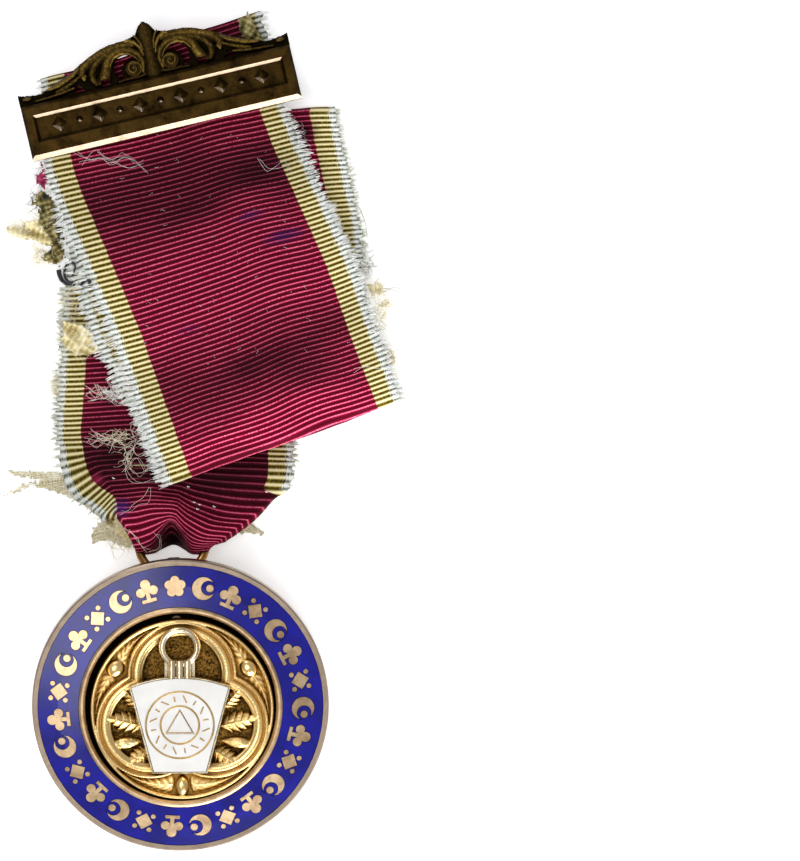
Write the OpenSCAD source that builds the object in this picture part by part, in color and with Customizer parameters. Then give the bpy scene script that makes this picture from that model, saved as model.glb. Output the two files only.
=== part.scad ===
// Breast jewel lying face up: a gilt brooch bar, a folded and frayed silk ribbon,
// a suspension ring and a round gilt and enamelled medal with a keystone in its well.
// +Z is up off the table and +Y runs from the medal to the bar. The origin lies on the
// table, under the far end of the suspension ring.

/* [Medal] */
// Outer diameter of the medal
medal_d = 44.3; // [43.6:0.1:45.6]
// Thickness of the outer rim
rim_t = 2; // [1.8:0.1:2.3]
// Width of the bright outer rim
rim_w = 0.8; // [0.6:0.05:1]
// Width of the bright inner rim round the well
inner_rim_w = 0.9; // [0.8:0.05:1.1]
// Height of the inner rim above the outer one
dome_rise = 1.1; // [0.8:0.1:1.3]
// Radius of the well in the middle
well_r = 14.3; // [14.2:0.1:14.6]
// Depth of the enamel in its channel
enamel_depth = 0.7; // [0.5:0.05:0.8]
// Clearance between enamel, disc and metal
fit_gap = 0.08; // [0.06:0.01:0.1]
// Tilt of the medal on its ring, in degrees
medal_tilt = 10; // [8:0.5:12]
// Turn of the raised side of the medal to the left, in degrees
tilt_turn = 12; // [0:1:20]
// Sideways shift of the loop along the ring
side_play = 0.4; // [0:0.05:0.5]
// Turn of the frame, its loop and its ornament, in degrees
frame_turn = 2.5; // [0:0.5:4]

/* [Ornament on the enamel] */
// Number of places round the band, one of them the rosette
motif_count = 27; // [24:1:30]
// Height of one motif across the band
motif_h = 3.6; // [3:0.1:4]
// Radius of the five petalled rosette
rosette_r = 1.6; // [1.3:0.1:1.8]

/* [Centre disc] */
// Gap between the centre disc and the wall of the well
disc_gap = 0.35; // [0.25:0.05:0.45]
// Thickness of the disc's plate
disc_t = 0.75; // [0.7:0.05:0.9]
// Width of the disc's raised rim
disc_rim_w = 0.6; // [0.5:0.05:0.8]
// Radius of each lobe of the trefoil tracery
lobe_r = 8; // [7.6:0.1:8.1]
// Gap between the lobes and the disc's edge
lobe_gap = 0.65; // [0.6:0.05:0.95]
// Width of the raised moulding round the trefoil
moulding_w = 0.65; // [0.5:0.05:0.7]
// Width of the lower shelf inside that moulding
shelf_w = 1.75; // [1.5:0.05:1.85]
// Radius of the round bosses between the lobes
boss_r = 1.4; // [1.1:0.1:1.5]

/* [Keystone] */
// Width of the keystone across its top
key_top_w = 15.1; // [14.4:0.1:15.4]
// Width of the keystone across its foot
key_foot_w = 8.3; // [7.8:0.1:9]
// Height of the keystone at its corners
key_h = 13.2; // [12.8:0.1:13.4]
// Rise of the arched top
key_arch = 1.5; // [1.2:0.1:1.7]
// Thickness of the keystone
key_t = 1.1; // [0.9:0.05:1.3]
// Depth of the white enamel
key_enamel_t = 0.4; // [0.3:0.05:0.5]
// Width of the gilt edge round the white enamel
key_edge = 0.2; // [0.15:0.05:0.3]
// Outer radius of the engraved ring
mark_ring_r = 5.2; // [4.8:0.1:5.3]
// Inner radius of the engraved ring
mark_inner_r = 3; // [2.8:0.1:3.2]
// Width of an engraved line
mark_line = 0.25; // [0.2:0.05:0.3]
// Middle radius of the small ring on the keystone
lewis_r = 2.6; // [2.4:0.05:2.65]
// Thickness of that small ring's wire
lewis_wire = 1; // [0.8:0.05:1.1]
// Width of the collar under the small ring
collar_w = 4.5; // [4:0.1:4.8]
// Height of the collar above the keystone's arch
collar_h = 2.3; // [2:0.1:2.5]

/* [Back of the medal] */
// Radius of each rounded lug
lug_r = 3.4; // [3:0.1:3.6]
// Thickness of the lugs
lug_t = 0.85; // [0.7:0.05:0.9]
// Distance of the lug rivets inside the wall of the well
lug_inset = 1.7; // [1.5:0.1:2.1]
// Outer radius of a tubular rivet
rivet_r = 1; // [0.8:0.05:1.1]
// Radius of a tubular rivet's bore
rivet_bore_r = 0.5; // [0.4:0.05:0.6]

/* [Loop and ring] */
// Width of the soldered loop
loop_w = 2.7; // [2.4:0.1:3]
// Radius of the hole in the loop
loop_hole_r = 1.25; // [1.15:0.05:1.3]
// Thickness of the loop round its hole
loop_wall = 1.35; // [1.2:0.05:1.5]
// Outer diameter of the suspension ring
ring_d = 11.3; // [11:0.1:11.8]
// Thickness of the ring's wire
ring_wire = 1.3; // [1.1:0.05:1.4]

/* [Ribbon] */
// Full width of the ribbon with its frayed edges
ribbon_w = 38; // [36:0.5:38.5]
// Thickness of the ribbed silk
cloth = 1; // [1:0.05:1.1]
// Clearance between two layers of cloth
layer_gap = 0.3; // [0.25:0.05:0.35]
// Length of the front panel from the bar to its lower fold
front_drop = 48.9; // [47.5:0.1:50.5]
// Length of ribbon that runs up under the bar
front_tuck = 12; // [11:0.2:13]
// Length of the run that goes back up behind the front panel
middle_rise = 47; // [44:0.2:48]
// Length of the next layer from the upper fold down
third_drop = 45; // [42:0.2:46]
// Length of the rearmost layer from the upper fold to the ring
rear_drop = 62.2; // [61:0.2:63]
// Length of the tail behind the ring
tail = 10; // [9:0.2:11]

/* [Brooch bar] */
// Length of the bar
bar_length = 41.2; // [41:0.2:44]
// Height of the plain panel
bar_height = 8.2; // [7.8:0.1:8.8]
// Depth of the panel from front to back
bar_depth = 2.8; // [2.4:0.1:3.2]
// Wall of the hollow panel
bar_wall = 0.9; // [0.8:0.05:1]
// Height of the crest above the panel at its middle
crest_h = 8.4; // [8:0.1:9.2]
// Thickness of the crest's plate
crest_t = 1.1; // [0.9:0.05:1.3]
// Relief of the scrolls above the crest's plate
relief = 0.8; // [0.6:0.05:1]
// Turn of the bar, in degrees
bar_turn = 13.3; // [11:0.1:14]
// Height of the sunk field in the panel
field_h = 4.1; // [3.6:0.1:4.5]
// Depth of the sunk field
field_depth = 0.5; // [0.3:0.05:0.7]

/* [Hinge and catch] */
// Outer radius of the hinge tube
hinge_r = 1.2; // [1.1:0.05:1.3]
// Radius of the hinge tube's bore
hinge_bore_r = 0.8; // [0.6:0.05:0.85]
// Length of each knuckle
knuckle = 1.9; // [1.6:0.1:2.1]
// Gap between the two knuckles
knuckle_gap = 1.7; // [1.5:0.1:2]
// Width of the catch's strip
catch_w = 2.2; // [1.9:0.1:2.4]
// Thickness of the catch's strip
catch_t = 0.7; // [0.6:0.05:0.8]

/* [Torn lining] */
// Reach of the left scrap of gauze beyond the ribbon
left_scrap = 26; // [24:0.5:28]
// Reach of the right scrap of gauze beyond the ribbon
right_scrap = 14.2; // [13:0.2:15]
// Thickness of the gauze
gauze_t = 1; // [1:0.05:1.1]

/* [Hidden] */
$fn = 48;

gilt = "#C9A45A";
dark_gilt = "#5A4420";
blue = "#15158A";
white = "#F8F6F2";
crimson = "#7A1038";
cream = "#E8D8A8";

medal_r = medal_d / 2;
band_in = well_r + inner_rim_w;
band_out = medal_r - rim_w;
band_mid = (band_in + band_out) / 2;
band_slope = atan(dome_rise / (band_out - band_in));
frame_top = rim_t + dome_rise;
edge = 0.2;
small = 0.01;
disc_r = well_r - disc_gap;
lobe_off = disc_r - lobe_gap - lobe_r;
lug_pitch = well_r - lug_inset;
disc_z = lug_t + 0.1;
floor_z = disc_z + disc_t;
disc_rim_h = 1.15;
spandrel_h = 0.7;
moulding_h = 1.2;
step_h = 0.75;
// Place of the bosses as a share of the disc's radius
boss_place = 0.855;

// Angles of the three lugs and their rivets round the medal
lug_angles = [90, 210, 330];

// The keystone lies on the trefoil's mouldings
key_z = floor_z + moulding_h + fit_gap;

// Ring: its far end lies on the ribbon's tail, its near end holds the medal's loop
ring_r = (ring_d - ring_wire) / 2;
loop_r = loop_hole_r + loop_wall;
loop_y = medal_r - loop_r - edge;
loop_z = -loop_hole_r - 0.15;
ring_far_z = cloth + layer_gap + ring_wire / 2;
loop_seat = [0, loop_y, -(ring_wire / 2 + layer_gap)];

// A point of the medal's own frame turned as the medal lies, still about its own centre
function turn_z(p, a) = [p[0] * cos(a) - p[1] * sin(a), p[0] * sin(a) + p[1] * cos(a), p[2]];
function turn_x(p, a) = [p[0], p[1] * cos(a) - p[2] * sin(a), p[1] * sin(a) + p[2] * cos(a)];
function lean(p) = turn_z(turn_x(turn_z(p, -tilt_turn), medal_tilt), tilt_turn);

medal_z = (medal_r - edge) * sin(medal_tilt);
seat = lean(turn_z(loop_seat, frame_turn));
ring_pitch = asin((medal_z + seat[2] - ring_far_z) / (2 * ring_r));
ring_reach = 2 * ring_r * cos(ring_pitch);
medal_at = [side_play - seat[0], -ring_reach - seat[1], medal_z];

module lay_medal() {
    translate(medal_at)
        rotate([0, 0, tilt_turn])
            rotate([medal_tilt, 0, 0])
                rotate([0, 0, -tilt_turn])
                    children();
}

module lay_frame() {
    lay_medal() rotate([0, 0, frame_turn]) children();
}

// Ornament: three plain motifs taken in turn round the enamel band, drawn upright
module crescent_2d(grow) {
    h = motif_h / 2;
    difference() {
        circle(h * 0.94 + grow);
        translate([h * 0.4, h * 0.1]) circle(h * 0.62 - grow);
    }
    translate([h * 0.52, h * 0.1]) circle(h * 0.3 + grow);
}

module bud_2d(grow) {
    h = motif_h / 2;
    translate([0, h * 0.54]) circle(h * 0.42 + grow);
    translate([-h * 0.54, -h * 0.04]) circle(h * 0.38 + grow);
    translate([h * 0.54, -h * 0.04]) circle(h * 0.38 + grow);
    translate([-h * 0.17 - grow, -h * 0.9 - grow]) square([h * 0.34 + 2 * grow, h * 1.5 + 2 * grow]);
    translate([-h * 0.6 - grow, -h * 0.96 - grow]) square([h * 1.2 + 2 * grow, h * 0.28 + 2 * grow]);
}

module lozenge_2d(grow) {
    h = motif_h / 2;
    rotate(45) square(h * 1.06 + 2 * grow, center = true);
    for (x = [-1, 1], y = [-1, 1])
        translate([x * h * 0.62, y * h * 0.62]) circle(h * 0.2 + grow);
}

module rosette_2d(grow) {
    circle(rosette_r * 0.5 + grow);
    for (k = [0 : 4])
        rotate(90 + k * 72) translate([rosette_r * 0.58, 0]) circle(rosette_r * 0.42 + grow);
}

module motifs(grow, low, high) {
    for (k = [0 : motif_count - 1])
        rotate([0, 0, -k * 360 / motif_count])
            translate([0, band_mid, rim_t + dome_rise / 2])
                rotate([-band_slope, 0, 0])
                    translate([0, 0, low])
                        linear_extrude(high - low)
                            if (k == 0) rosette_2d(grow);
                            else if (k % 3 == 1) crescent_2d(grow);
                            else if (k % 3 == 2) bud_2d(grow);
                            else lozenge_2d(grow);
}

module medal_frame() {
    color(gilt) lay_frame() difference() {
        union() {
            rotate_extrude($fn = 96) polygon([
                [well_r, 0], [medal_r - edge, 0], [medal_r, edge], [medal_r, rim_t - edge],
                [medal_r - edge, rim_t], [band_out, rim_t], [band_out, rim_t - enamel_depth],
                [band_in, frame_top - enamel_depth], [band_in, frame_top],
                [band_in - inner_rim_w / 3, frame_top + edge],
                [band_in - inner_rim_w * 2 / 3, frame_top + edge], [well_r, frame_top - edge]]);
            motifs(0, -enamel_depth - 0.1, 0.02);
            lugs();
            loop();
        }
        for (a = lug_angles)
            rotate([0, 0, a]) translate([lug_pitch, 0, -1]) cylinder(r = rivet_r + fit_gap, h = lug_t + 2);
    }
}

// Three rounded lugs reach in from the back of the frame and carry the disc
module lugs() {
    difference() {
        for (a = lug_angles)
            rotate([0, 0, a]) translate([lug_pitch, 0, 0]) cylinder(r = lug_r, h = lug_t);
        difference() {
            translate([0, 0, -1]) cylinder(r = medal_r, h = lug_t + 2);
            translate([0, 0, -2]) cylinder(r = well_r + 0.5, h = lug_t + 4);
        }
    }
}

// The loop stands on edge behind the rim, with its hole across the medal
module loop() {
    translate([0, loop_y, loop_z])
        rotate([0, 90, 0])
            rotate_extrude() polygon([
                [loop_hole_r + edge, -loop_w / 2], [loop_r - 2 * edge, -loop_w / 2],
                [loop_r, -loop_w / 2 + 3 * edge], [loop_r, loop_w / 2 - 3 * edge],
                [loop_r - 2 * edge, loop_w / 2], [loop_hole_r + edge, loop_w / 2],
                [loop_hole_r, loop_w / 2 - 2 * edge], [loop_hole_r, -loop_w / 2 + 2 * edge]]);
}

module blue_enamel() {
    low = fit_gap - enamel_depth;
    color(blue) lay_frame() difference() {
        rotate_extrude($fn = 96) polygon([
            [band_in + fit_gap, frame_top + low], [band_out - fit_gap, rim_t + low],
            [band_out - fit_gap, rim_t - 0.05], [band_mid, rim_t + dome_rise / 2 + 0.04],
            [band_in + fit_gap, frame_top - 0.05]]);
        motifs(fit_gap, -enamel_depth - 0.4, 0.6);
    }
}

// The centre: a stamped disc with a trefoil moulding, bosses and leaf sprays
lobe_angles = [90, 206, 334];
boss_angles = [32, 148, 270];

module lobes_2d(r) {
    for (a = lobe_angles) rotate(a) translate([lobe_off, 0]) circle(r, $fn = 64);
}

module trefoil_ring(outer, inner, top) {
    translate([0, 0, floor_z - small]) linear_extrude(top + small) difference() {
        lobes_2d(outer);
        lobes_2d(inner);
    }
}

// A leaf lies along +X from its foot to its tip, with teeth down both sides
function leaf_side(l, w, teeth) = [for (k = [0 : teeth - 1], half = [0, 1])
    let (s = (k + half * 0.7 + 0.3) / (teeth + 0.3))
    [l * s, w * sin(180 * pow(s, 0.8)) * (half == 0 ? 0.72 : 1)]];

module leaf(l, w, teeth, h) {
    up = leaf_side(l, w, teeth);
    down = [for (k = [len(up) - 1 : -1 : 0]) [up[k][0], -up[k][1]]];
    linear_extrude(h) polygon(concat([[0, w * 0.25]], up, [[l, 0]], down, [[0, -w * 0.25]]));
}

// A smooth bud is a spindle half sunk in the disc
module bud(l, w) {
    rotate([0, 90, 0]) rotate_extrude($fn = 24)
        polygon(concat([for (k = [0 : 8]) [w * sin(180 * k / 8), l * k / 8]], [[0, l]]));
}

// Leaf sprays as shares of the disc's radius: foot x, foot y, length, half width, angle
leaf_rows = [
    [0.46, 0.02, 0.23, 0.057, 52],
    [0.42, -0.19, 0.38, 0.079, 14],
    [0.35, -0.45, 0.29, 0.068, -30]];
bud_row = [0.40, -0.33, 0.38, 0.055, -9];

module spray() {
    for (row = leaf_rows)
        translate([row[0] * disc_r, row[1] * disc_r, floor_z - small])
            rotate(row[4]) leaf(row[2] * disc_r, row[3] * disc_r, 6, relief * 0.75);
    translate([bud_row[0] * disc_r, bud_row[1] * disc_r, floor_z - small])
        rotate(bud_row[4]) bud(bud_row[2] * disc_r, bud_row[3] * disc_r);
}

module centre_disc() {
    color(gilt) lay_medal() difference() {
        union() {
            translate([0, 0, disc_z]) cylinder(r = disc_r, h = disc_t, $fn = 96);
            translate([0, 0, floor_z - small]) difference() {
                cylinder(r = disc_r, h = disc_rim_h, $fn = 96);
                translate([0, 0, -1]) cylinder(r = disc_r - disc_rim_w, h = 3, $fn = 96);
            }
            translate([0, 0, floor_z - small]) linear_extrude(spandrel_h) difference() {
                circle(disc_r - disc_rim_w / 2, $fn = 96);
                lobes_2d(lobe_r - moulding_w / 2);
            }
            trefoil_ring(lobe_r, lobe_r - moulding_w, moulding_h);
            trefoil_ring(lobe_r - moulding_w + small, lobe_r - moulding_w - shelf_w, step_h);
            for (a = boss_angles)
                rotate([0, 0, a]) translate([disc_r * boss_place, 0, floor_z + spandrel_h * 0.5])
                    sphere(boss_r * 0.9);
            spray();
            mirror([1, 0, 0]) spray();
        }
        for (a = lug_angles)
            rotate([0, 0, a + frame_turn]) translate([lug_pitch, 0, disc_z - 1])
                cylinder(r = rivet_r + fit_gap, h = 1 + disc_t * 0.7);
        translate([0, 0, disc_z - 1]) cylinder(r = rivet_r + fit_gap, h = disc_t + 2);
    }
}

// The keystone stands on the disc; its outline grows by the width given
key_foot_y = -9.85;
key_x = -0.13;
mark_y = -2.45;
key_top_y = key_foot_y + key_h;
key_arch_r = (pow(key_top_w / 2, 2) + pow(key_arch, 2)) / (2 * key_arch);

module keystone_2d(grow) {
    side = atan((key_top_w - key_foot_w) / 2 / key_h);
    across = grow / cos(side);
    intersection() {
        polygon([
            [-key_foot_w / 2 - across, key_foot_y - grow], [key_foot_w / 2 + across, key_foot_y - grow],
            [key_top_w / 2 + across + key_arch * tan(side), key_top_y + key_arch],
            [key_top_w / 2 + across + key_arch * tan(side), key_top_y + key_arch + 1],
            [-key_top_w / 2 - across - key_arch * tan(side), key_top_y + key_arch + 1],
            [-key_top_w / 2 - across - key_arch * tan(side), key_top_y + key_arch]]);
        translate([0, key_top_y + key_arch - key_arch_r]) circle(key_arch_r + grow, $fn = 96);
    }
}

module keystone() {
    lewis_y = key_top_y + key_arch + collar_h + lewis_r;
    lewis_z = key_z + lewis_wire / 2 + 0.06;
    flute_r = collar_w / 7;
    color(gilt) lay_medal() translate([key_x, 0, 0]) difference() {
        union() {
            translate([0, 0, key_z]) linear_extrude(key_t) keystone_2d(0);
            translate([-collar_w / 2, key_top_y, key_z]) cube([collar_w, key_arch + collar_h, key_t * 0.6]);
            for (k = [-1, 0, 1])
                translate([k * collar_w * 0.26, key_top_y + 0.3, key_z + key_t * 0.6])
                    rotate([-90, 0, 0]) cylinder(r = flute_r, h = key_arch + collar_h - 0.15);
            translate([0, lewis_y - lewis_wire / 2, lewis_z])
                rotate_extrude() translate([lewis_r, 0]) circle(lewis_wire / 2, $fn = 24);
        }
        translate([0, 0, key_z + key_t - key_enamel_t])
            linear_extrude(key_enamel_t + 1) keystone_2d(-key_edge);
        translate([-key_x, 0, key_z - 1]) cylinder(r = rivet_r + fit_gap, h = 1 + key_t * 0.45);
    }
}

module ring_groove(r, top) {
    translate([0, mark_y, top - 0.1]) difference() {
        cylinder(r = r, h = 1, $fn = 64);
        translate([0, 0, -1]) cylinder(r = r - mark_line, h = 3, $fn = 64);
    }
}

module white_enamel() {
    top = key_z + key_t + 0.04;
    color(white) lay_medal() translate([key_x, 0, 0]) difference() {
        translate([0, 0, key_z + key_t - key_enamel_t + fit_gap])
            linear_extrude(key_enamel_t + 0.04 - fit_gap) keystone_2d(-key_edge - fit_gap);
        ring_groove(mark_ring_r, top);
        ring_groove(mark_inner_r, top);
        translate([0, mark_y - 0.1, top - 0.1]) linear_extrude(1) difference() {
            rotate(90) circle(mark_inner_r * 0.86, $fn = 3);
            rotate(90) circle(mark_inner_r * 0.86 - 2 * mark_line, $fn = 3);
        }
    }
}

// Tubular rivets: one through each lug, and one that holds the keystone to the disc
module rivet(low, high) {
    difference() {
        union() {
            translate([0, 0, low]) cylinder(r = rivet_r, h = high - low);
            translate([0, 0, low - 0.3]) cylinder(r = rivet_r + 0.35, h = 0.3);
        }
        translate([0, 0, low - 1]) cylinder(r = rivet_bore_r, h = high - low + 0.6);
    }
}

module lug_rivet(a) {
    color(gilt) lay_frame() rotate([0, 0, a]) translate([lug_pitch, 0, 0])
        rivet(-fit_gap, disc_z + disc_t * 0.6);
}

module top_rivet() {
    lug_rivet(lug_angles[0]);
}

module left_rivet() {
    lug_rivet(lug_angles[1]);
}

module right_rivet() {
    lug_rivet(lug_angles[2]);
}

module centre_rivet() {
    color(gilt) lay_medal() rivet(disc_z - fit_gap, key_z + key_t * 0.4);
}

module suspension_ring() {
    color(gilt) translate([0, 0, ring_far_z]) rotate([-ring_pitch, 0, 0])
        translate([0, -ring_r, 0]) rotate_extrude() translate([ring_r, 0]) circle(ring_wire / 2, $fn = 24);
}

// Ribbon: a strip is a list of sections across it, each
// [middle point, turn of the ribs, half width left, half width right, sag of the ribs, gathers' height]
function cross3(a, b) = [a[1] * b[2] - a[2] * b[1], a[2] * b[0] - a[0] * b[2], a[0] * b[1] - a[1] * b[0]];
function unit(v) = v / norm(v);
function mix(a, b, t) = a + (b - a) * t;

across_n = 12;

function strip_dir(rows, i) =
    unit(rows[min(i + 1, len(rows) - 1)][0] - rows[max(i - 1, 0)][0]);

// One point of a section: u runs from -1 at the left edge to 1 at the right
function strip_point(row, dir, u, side) =
    let (rib = [cos(row[1]), sin(row[1]), 0],
        up = unit(cross3(dir, rib)),
        half = u < 0 ? row[2] : row[3],
        ripple = row[5] * (1 - cos(u * 540)) / 2,
        sag = row[4] * (1 - u * u))
    row[0] + rib * u * half + dir * sag + up * (side * cloth / 2 + ripple);

function strip_points(rows) = [for (i = [0 : len(rows) - 1])
    let (dir = strip_dir(rows, i))
    for (side = [1, -1], k = [0 : across_n])
        strip_point(rows[i], dir, (side > 0 ? k : across_n - k) * 2 / across_n - 1, side)];

function strip_faces(n) = let (m = 2 * (across_n + 1)) concat(
    [for (i = [0 : n - 2], k = [0 : m - 1])
        [i * m + k, i * m + (k + 1) % m, (i + 1) * m + (k + 1) % m, (i + 1) * m + k]],
    [for (end = [0, n - 1], k = [0 : across_n - 1])
        let (a = end * m + k, b = a + 1, d = end * m + m - 1 - k, c = d - 1)
        end == 0 ? [a, d, c, b] : [a, b, c, d]]);

// Each four-sided face as two triangles, since a draped face isn't flat
function halves(faces) = [for (f = faces, t = [0, 1]) t == 0 ? [f[0], f[1], f[2]] : [f[0], f[2], f[3]]];

module strip(rows) {
    polyhedron(strip_points(rows), halves(strip_faces(len(rows))), convexity = 8);
}

// Rows of a run, eased between hand-set stations:
// [share of the length, sideways share of the width, lift, turn, left share, right share, sag, gathers],
// with lift, sag and gathers in thicknesses of the cloth
function ease(t) = t * t * (3 - 2 * t);

function station(table, s, col) =
    let (last = len(table) - 1,
        i = max([0, for (k = [0 : last - 1]) if (table[k][0] <= s) k]),
        a = table[i], b = table[i + 1],
        t = (s - a[0]) / (b[0] - a[0]))
    col == 1 ? mix(a[1], b[1], t) : mix(a[col], b[col], ease(t));

// A run starts at a point and goes the given length along a plan heading
function run(table, start, heading, length, z0, steps) =
    let (ahead = [sin(heading), -cos(heading), 0], aside = [cos(heading), sin(heading), 0])
    [for (k = [0 : steps]) let (s = k / steps)
        [start + ahead * length * s + aside * station(table, s, 1) * ribbon_w
                + [0, 0, z0 + station(table, s, 2) * cloth],
            station(table, s, 3), station(table, s, 4) * ribbon_w / 2,
            station(table, s, 5) * ribbon_w / 2, station(table, s, 6) * cloth,
            station(table, s, 7) * cloth]];

// A half turn of cloth about a line across the strip, from the row it leaves; down is -1 if it curls under
function fold(row, heading, r, steps) =
    let (ahead = [sin(heading), -cos(heading), 0])
    [for (k = [1 : steps - 1]) let (a = 180 * k / steps)
        [row[0] + ahead * r * sin(a) - [0, 0, r * (1 - cos(a))],
            row[1], row[2], row[3], row[4], row[5]]];

rear_z = cloth / 2;
third_z = rear_z + cloth + layer_gap;
middle_z = third_z + cloth + layer_gap;
front_z = middle_z + cloth + layer_gap;
bar_z = front_z + cloth / 2 + layer_gap;
layer_fold = (cloth + layer_gap) / 2;

// Headings of the runs, going down
front_heading = 21.8;
middle_heading = 23.5;
third_heading = 11;
rear_heading = -7.5;
bar_up = [-sin(bar_turn), cos(bar_turn), 0];

// The ribbon's foot at the ring, and from it back up to the upper fold and the bar
foot_at = [-0.1876 * ring_d, -0.2451 * ring_d, 0];
upper_fold_at = foot_at + [-sin(rear_heading), cos(rear_heading), 0] * rear_drop;
bar_at = upper_fold_at + [-0.1737 * ribbon_w, -0.0395 * ribbon_w, 0];

tuck_table = [
    [0, 0, 0, 17.5, 0.90, 0.85, 0, 0],
    [1, 0, 0, 13.3, 0.92, 0.90, 0, 0]];
front_table = [
    [0, 0, 0, 13.3, 0.92, 0.90, 0, 0],
    [0.12, -0.02, 0, 14, 1.02, 0.90, 0, 0],
    [0.30, 0, 0.8, 16, 1.04, 0.90, 0, 0],
    [0.55, 0.005, 1.1, 18, 1.05, 0.91, 0, 0],
    [0.78, 0, 0.5, 19.5, 1.05, 0.89, 0, 0],
    [1, 0, 0, 20, 1.04, 0.90, 0, 0]];
middle_table = [
    [0, 0, 0, 20, 1.04, 0.9, 0, 0],
    [0.5, 0, 0, 19, 1.02, 0.94, 0, 0],
    [1, 0, 0, 14, 0.92, 0.9, 0, 0]];
third_table = [
    [0, 0, 0, 4, 0.97, 1, 0, 0],
    [0.15, 0, 0, 5, 0.97, 0.96, 0, 0],
    [0.6, 0.01, 0, 10, 1, 1, 0, 0],
    [1, 0, 0.2, 14, 0.96, 1, 0, 0]];
rear_table = [
    [0, 0, 0, 4, 0.97, 1, 0, 0],
    [0.4, 0, 0, 2, 0.95, 0.96, 0, 0],
    [0.76, 0.01, 0, 0, 0.89, 0.93, 0, 0],
    [0.84, 0.025, 1, 0, 0.87, 0.95, 0.2, 0],
    [0.9, 0.035, 1.3, 0, 0.72, 0.87, 0.25, 0.2],
    [0.94, 0.045, 3.8, 0, 0.52, 0.74, 0.9, 0.5],
    [0.97, 0.05, 5.1, 0, 0.39, 0.58, 1.1, 0.6],
    [1, 0.055, 5.2, 0, 0.32, 0.44, 1, 0.6]];
wrap_share = 0.215;
tail_table = [
    [0, 0, 0, 0, 0.22, 0.22, 0, 0],
    [0.4, 0, 0, 0, 0.27, 0.27, 0, 0],
    [1, 0, 0, 0, 0.4, 0.4, 0, 0]];

front_start = bar_at + bar_up * front_tuck;
front_runs = run(front_table, bar_at, front_heading, front_drop, front_z + layer_fold * 0.3, 22);
lower_fold_z = front_runs[22][0][2] - middle_z;
lower_fold_at = [front_runs[22][0][0], front_runs[22][0][1], 0];

module front_ribbon() {
    rows = concat(
        run(tuck_table, front_start, bar_turn, front_tuck * 0.96, front_z, 4),
        [for (k = [1 : 22]) front_runs[k]],
        fold(front_runs[22], front_heading, lower_fold_z / 2, 8),
        run(middle_table, lower_fold_at, middle_heading + 180, middle_rise, middle_z, 14));
    color(crimson) strip(rows);
}

module rear_ribbon() {
    third = run(third_table, upper_fold_at, third_heading, third_drop, third_z, 14);
    rear = run(rear_table, upper_fold_at, rear_heading, rear_drop, rear_z, 30);
    foot = rear[30];
    wrap_r = (foot[0][2] - rear_z) / 2;
    wrap = fold(foot, 0, wrap_r, 8);
    tail_at = [foot[0][0], foot[0][1], 0];
    rows = concat(
        [for (k = [14 : -1 : 0]) third[k]],
        [for (k = [7 : -1 : 1]) let (row = fold(third[0], rear_heading + 180, layer_fold, 8)[7 - k]) row],
        rear,
        [for (k = [0 : 6]) let (row = wrap[k])
            [row[0], 0, (k == 0 ? 0.3 : wrap_share) * ribbon_w / 2,
                (k == 0 ? 0.33 : wrap_share) * ribbon_w / 2, 0, 0]],
        run(tail_table, tail_at, 180, tail, rear_z, 8));
    color(crimson) strip(rows);
}

// Brooch bar: drawn flat with its lower edge's middle at the origin and its back at zero
half_bar = bar_length / 2;

// Crest outline from the end inwards, as shares of half the bar and of the crest's height
crest_side = [
    [1, 0], [1, 0.215], [0.955, 0.18], [0.885, 0.16], [0.83, 0.15], [0.79, 0.2], [0.7, 0.29],
    [0.61, 0.37], [0.515, 0.5], [0.43, 0.6], [0.35, 0.68], [0.27, 0.73], [0.165, 0.735],
    [0.075, 0.79], [0.04, 0.93]];

module crest_2d() {
    right = [for (p = crest_side) [p[0] * half_bar, bar_height + p[1] * crest_h]];
    left = [for (k = [len(right) - 1 : -1 : 0]) [-right[k][0], right[k][1]]];
    polygon(concat([[half_bar, bar_height / 2]], right, [[0, bar_height + crest_h]], left,
        [[-half_bar, bar_height / 2]]));
}

// Centre of the C-shaped scroll beside the crest's middle
scroll_x = half_bar * 0.19;
scroll_y = bar_height + crest_h * 0.27;

// Half of the crest's openings, mirrored for the other half
module piercing_2d() {
    translate([scroll_x, scroll_y]) difference() {
        circle(crest_h * 0.226);
        translate([-crest_h * 0.113, -crest_h * 0.089]) circle(crest_h * 0.208);
    }
    translate([half_bar * 0.36, bar_height + crest_h * 0.09])
        square([crest_h * 0.155, crest_h * 0.107], center = true);
    translate([half_bar * 0.56, bar_height + crest_h * 0.1])
        polygon([[-0.107, -0.06], [0.107, -0.06], [0.024, 0.065]] * crest_h);
}

// One raised ridge of the scrollwork: an arc about a centre
module ridge(x, y, r, wire, from, sweep) {
    translate([x, y, crest_t]) rotate([0, 0, from]) rotate_extrude(angle = sweep)
        translate([r, 0]) circle(wire, $fn = 16);
}

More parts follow.
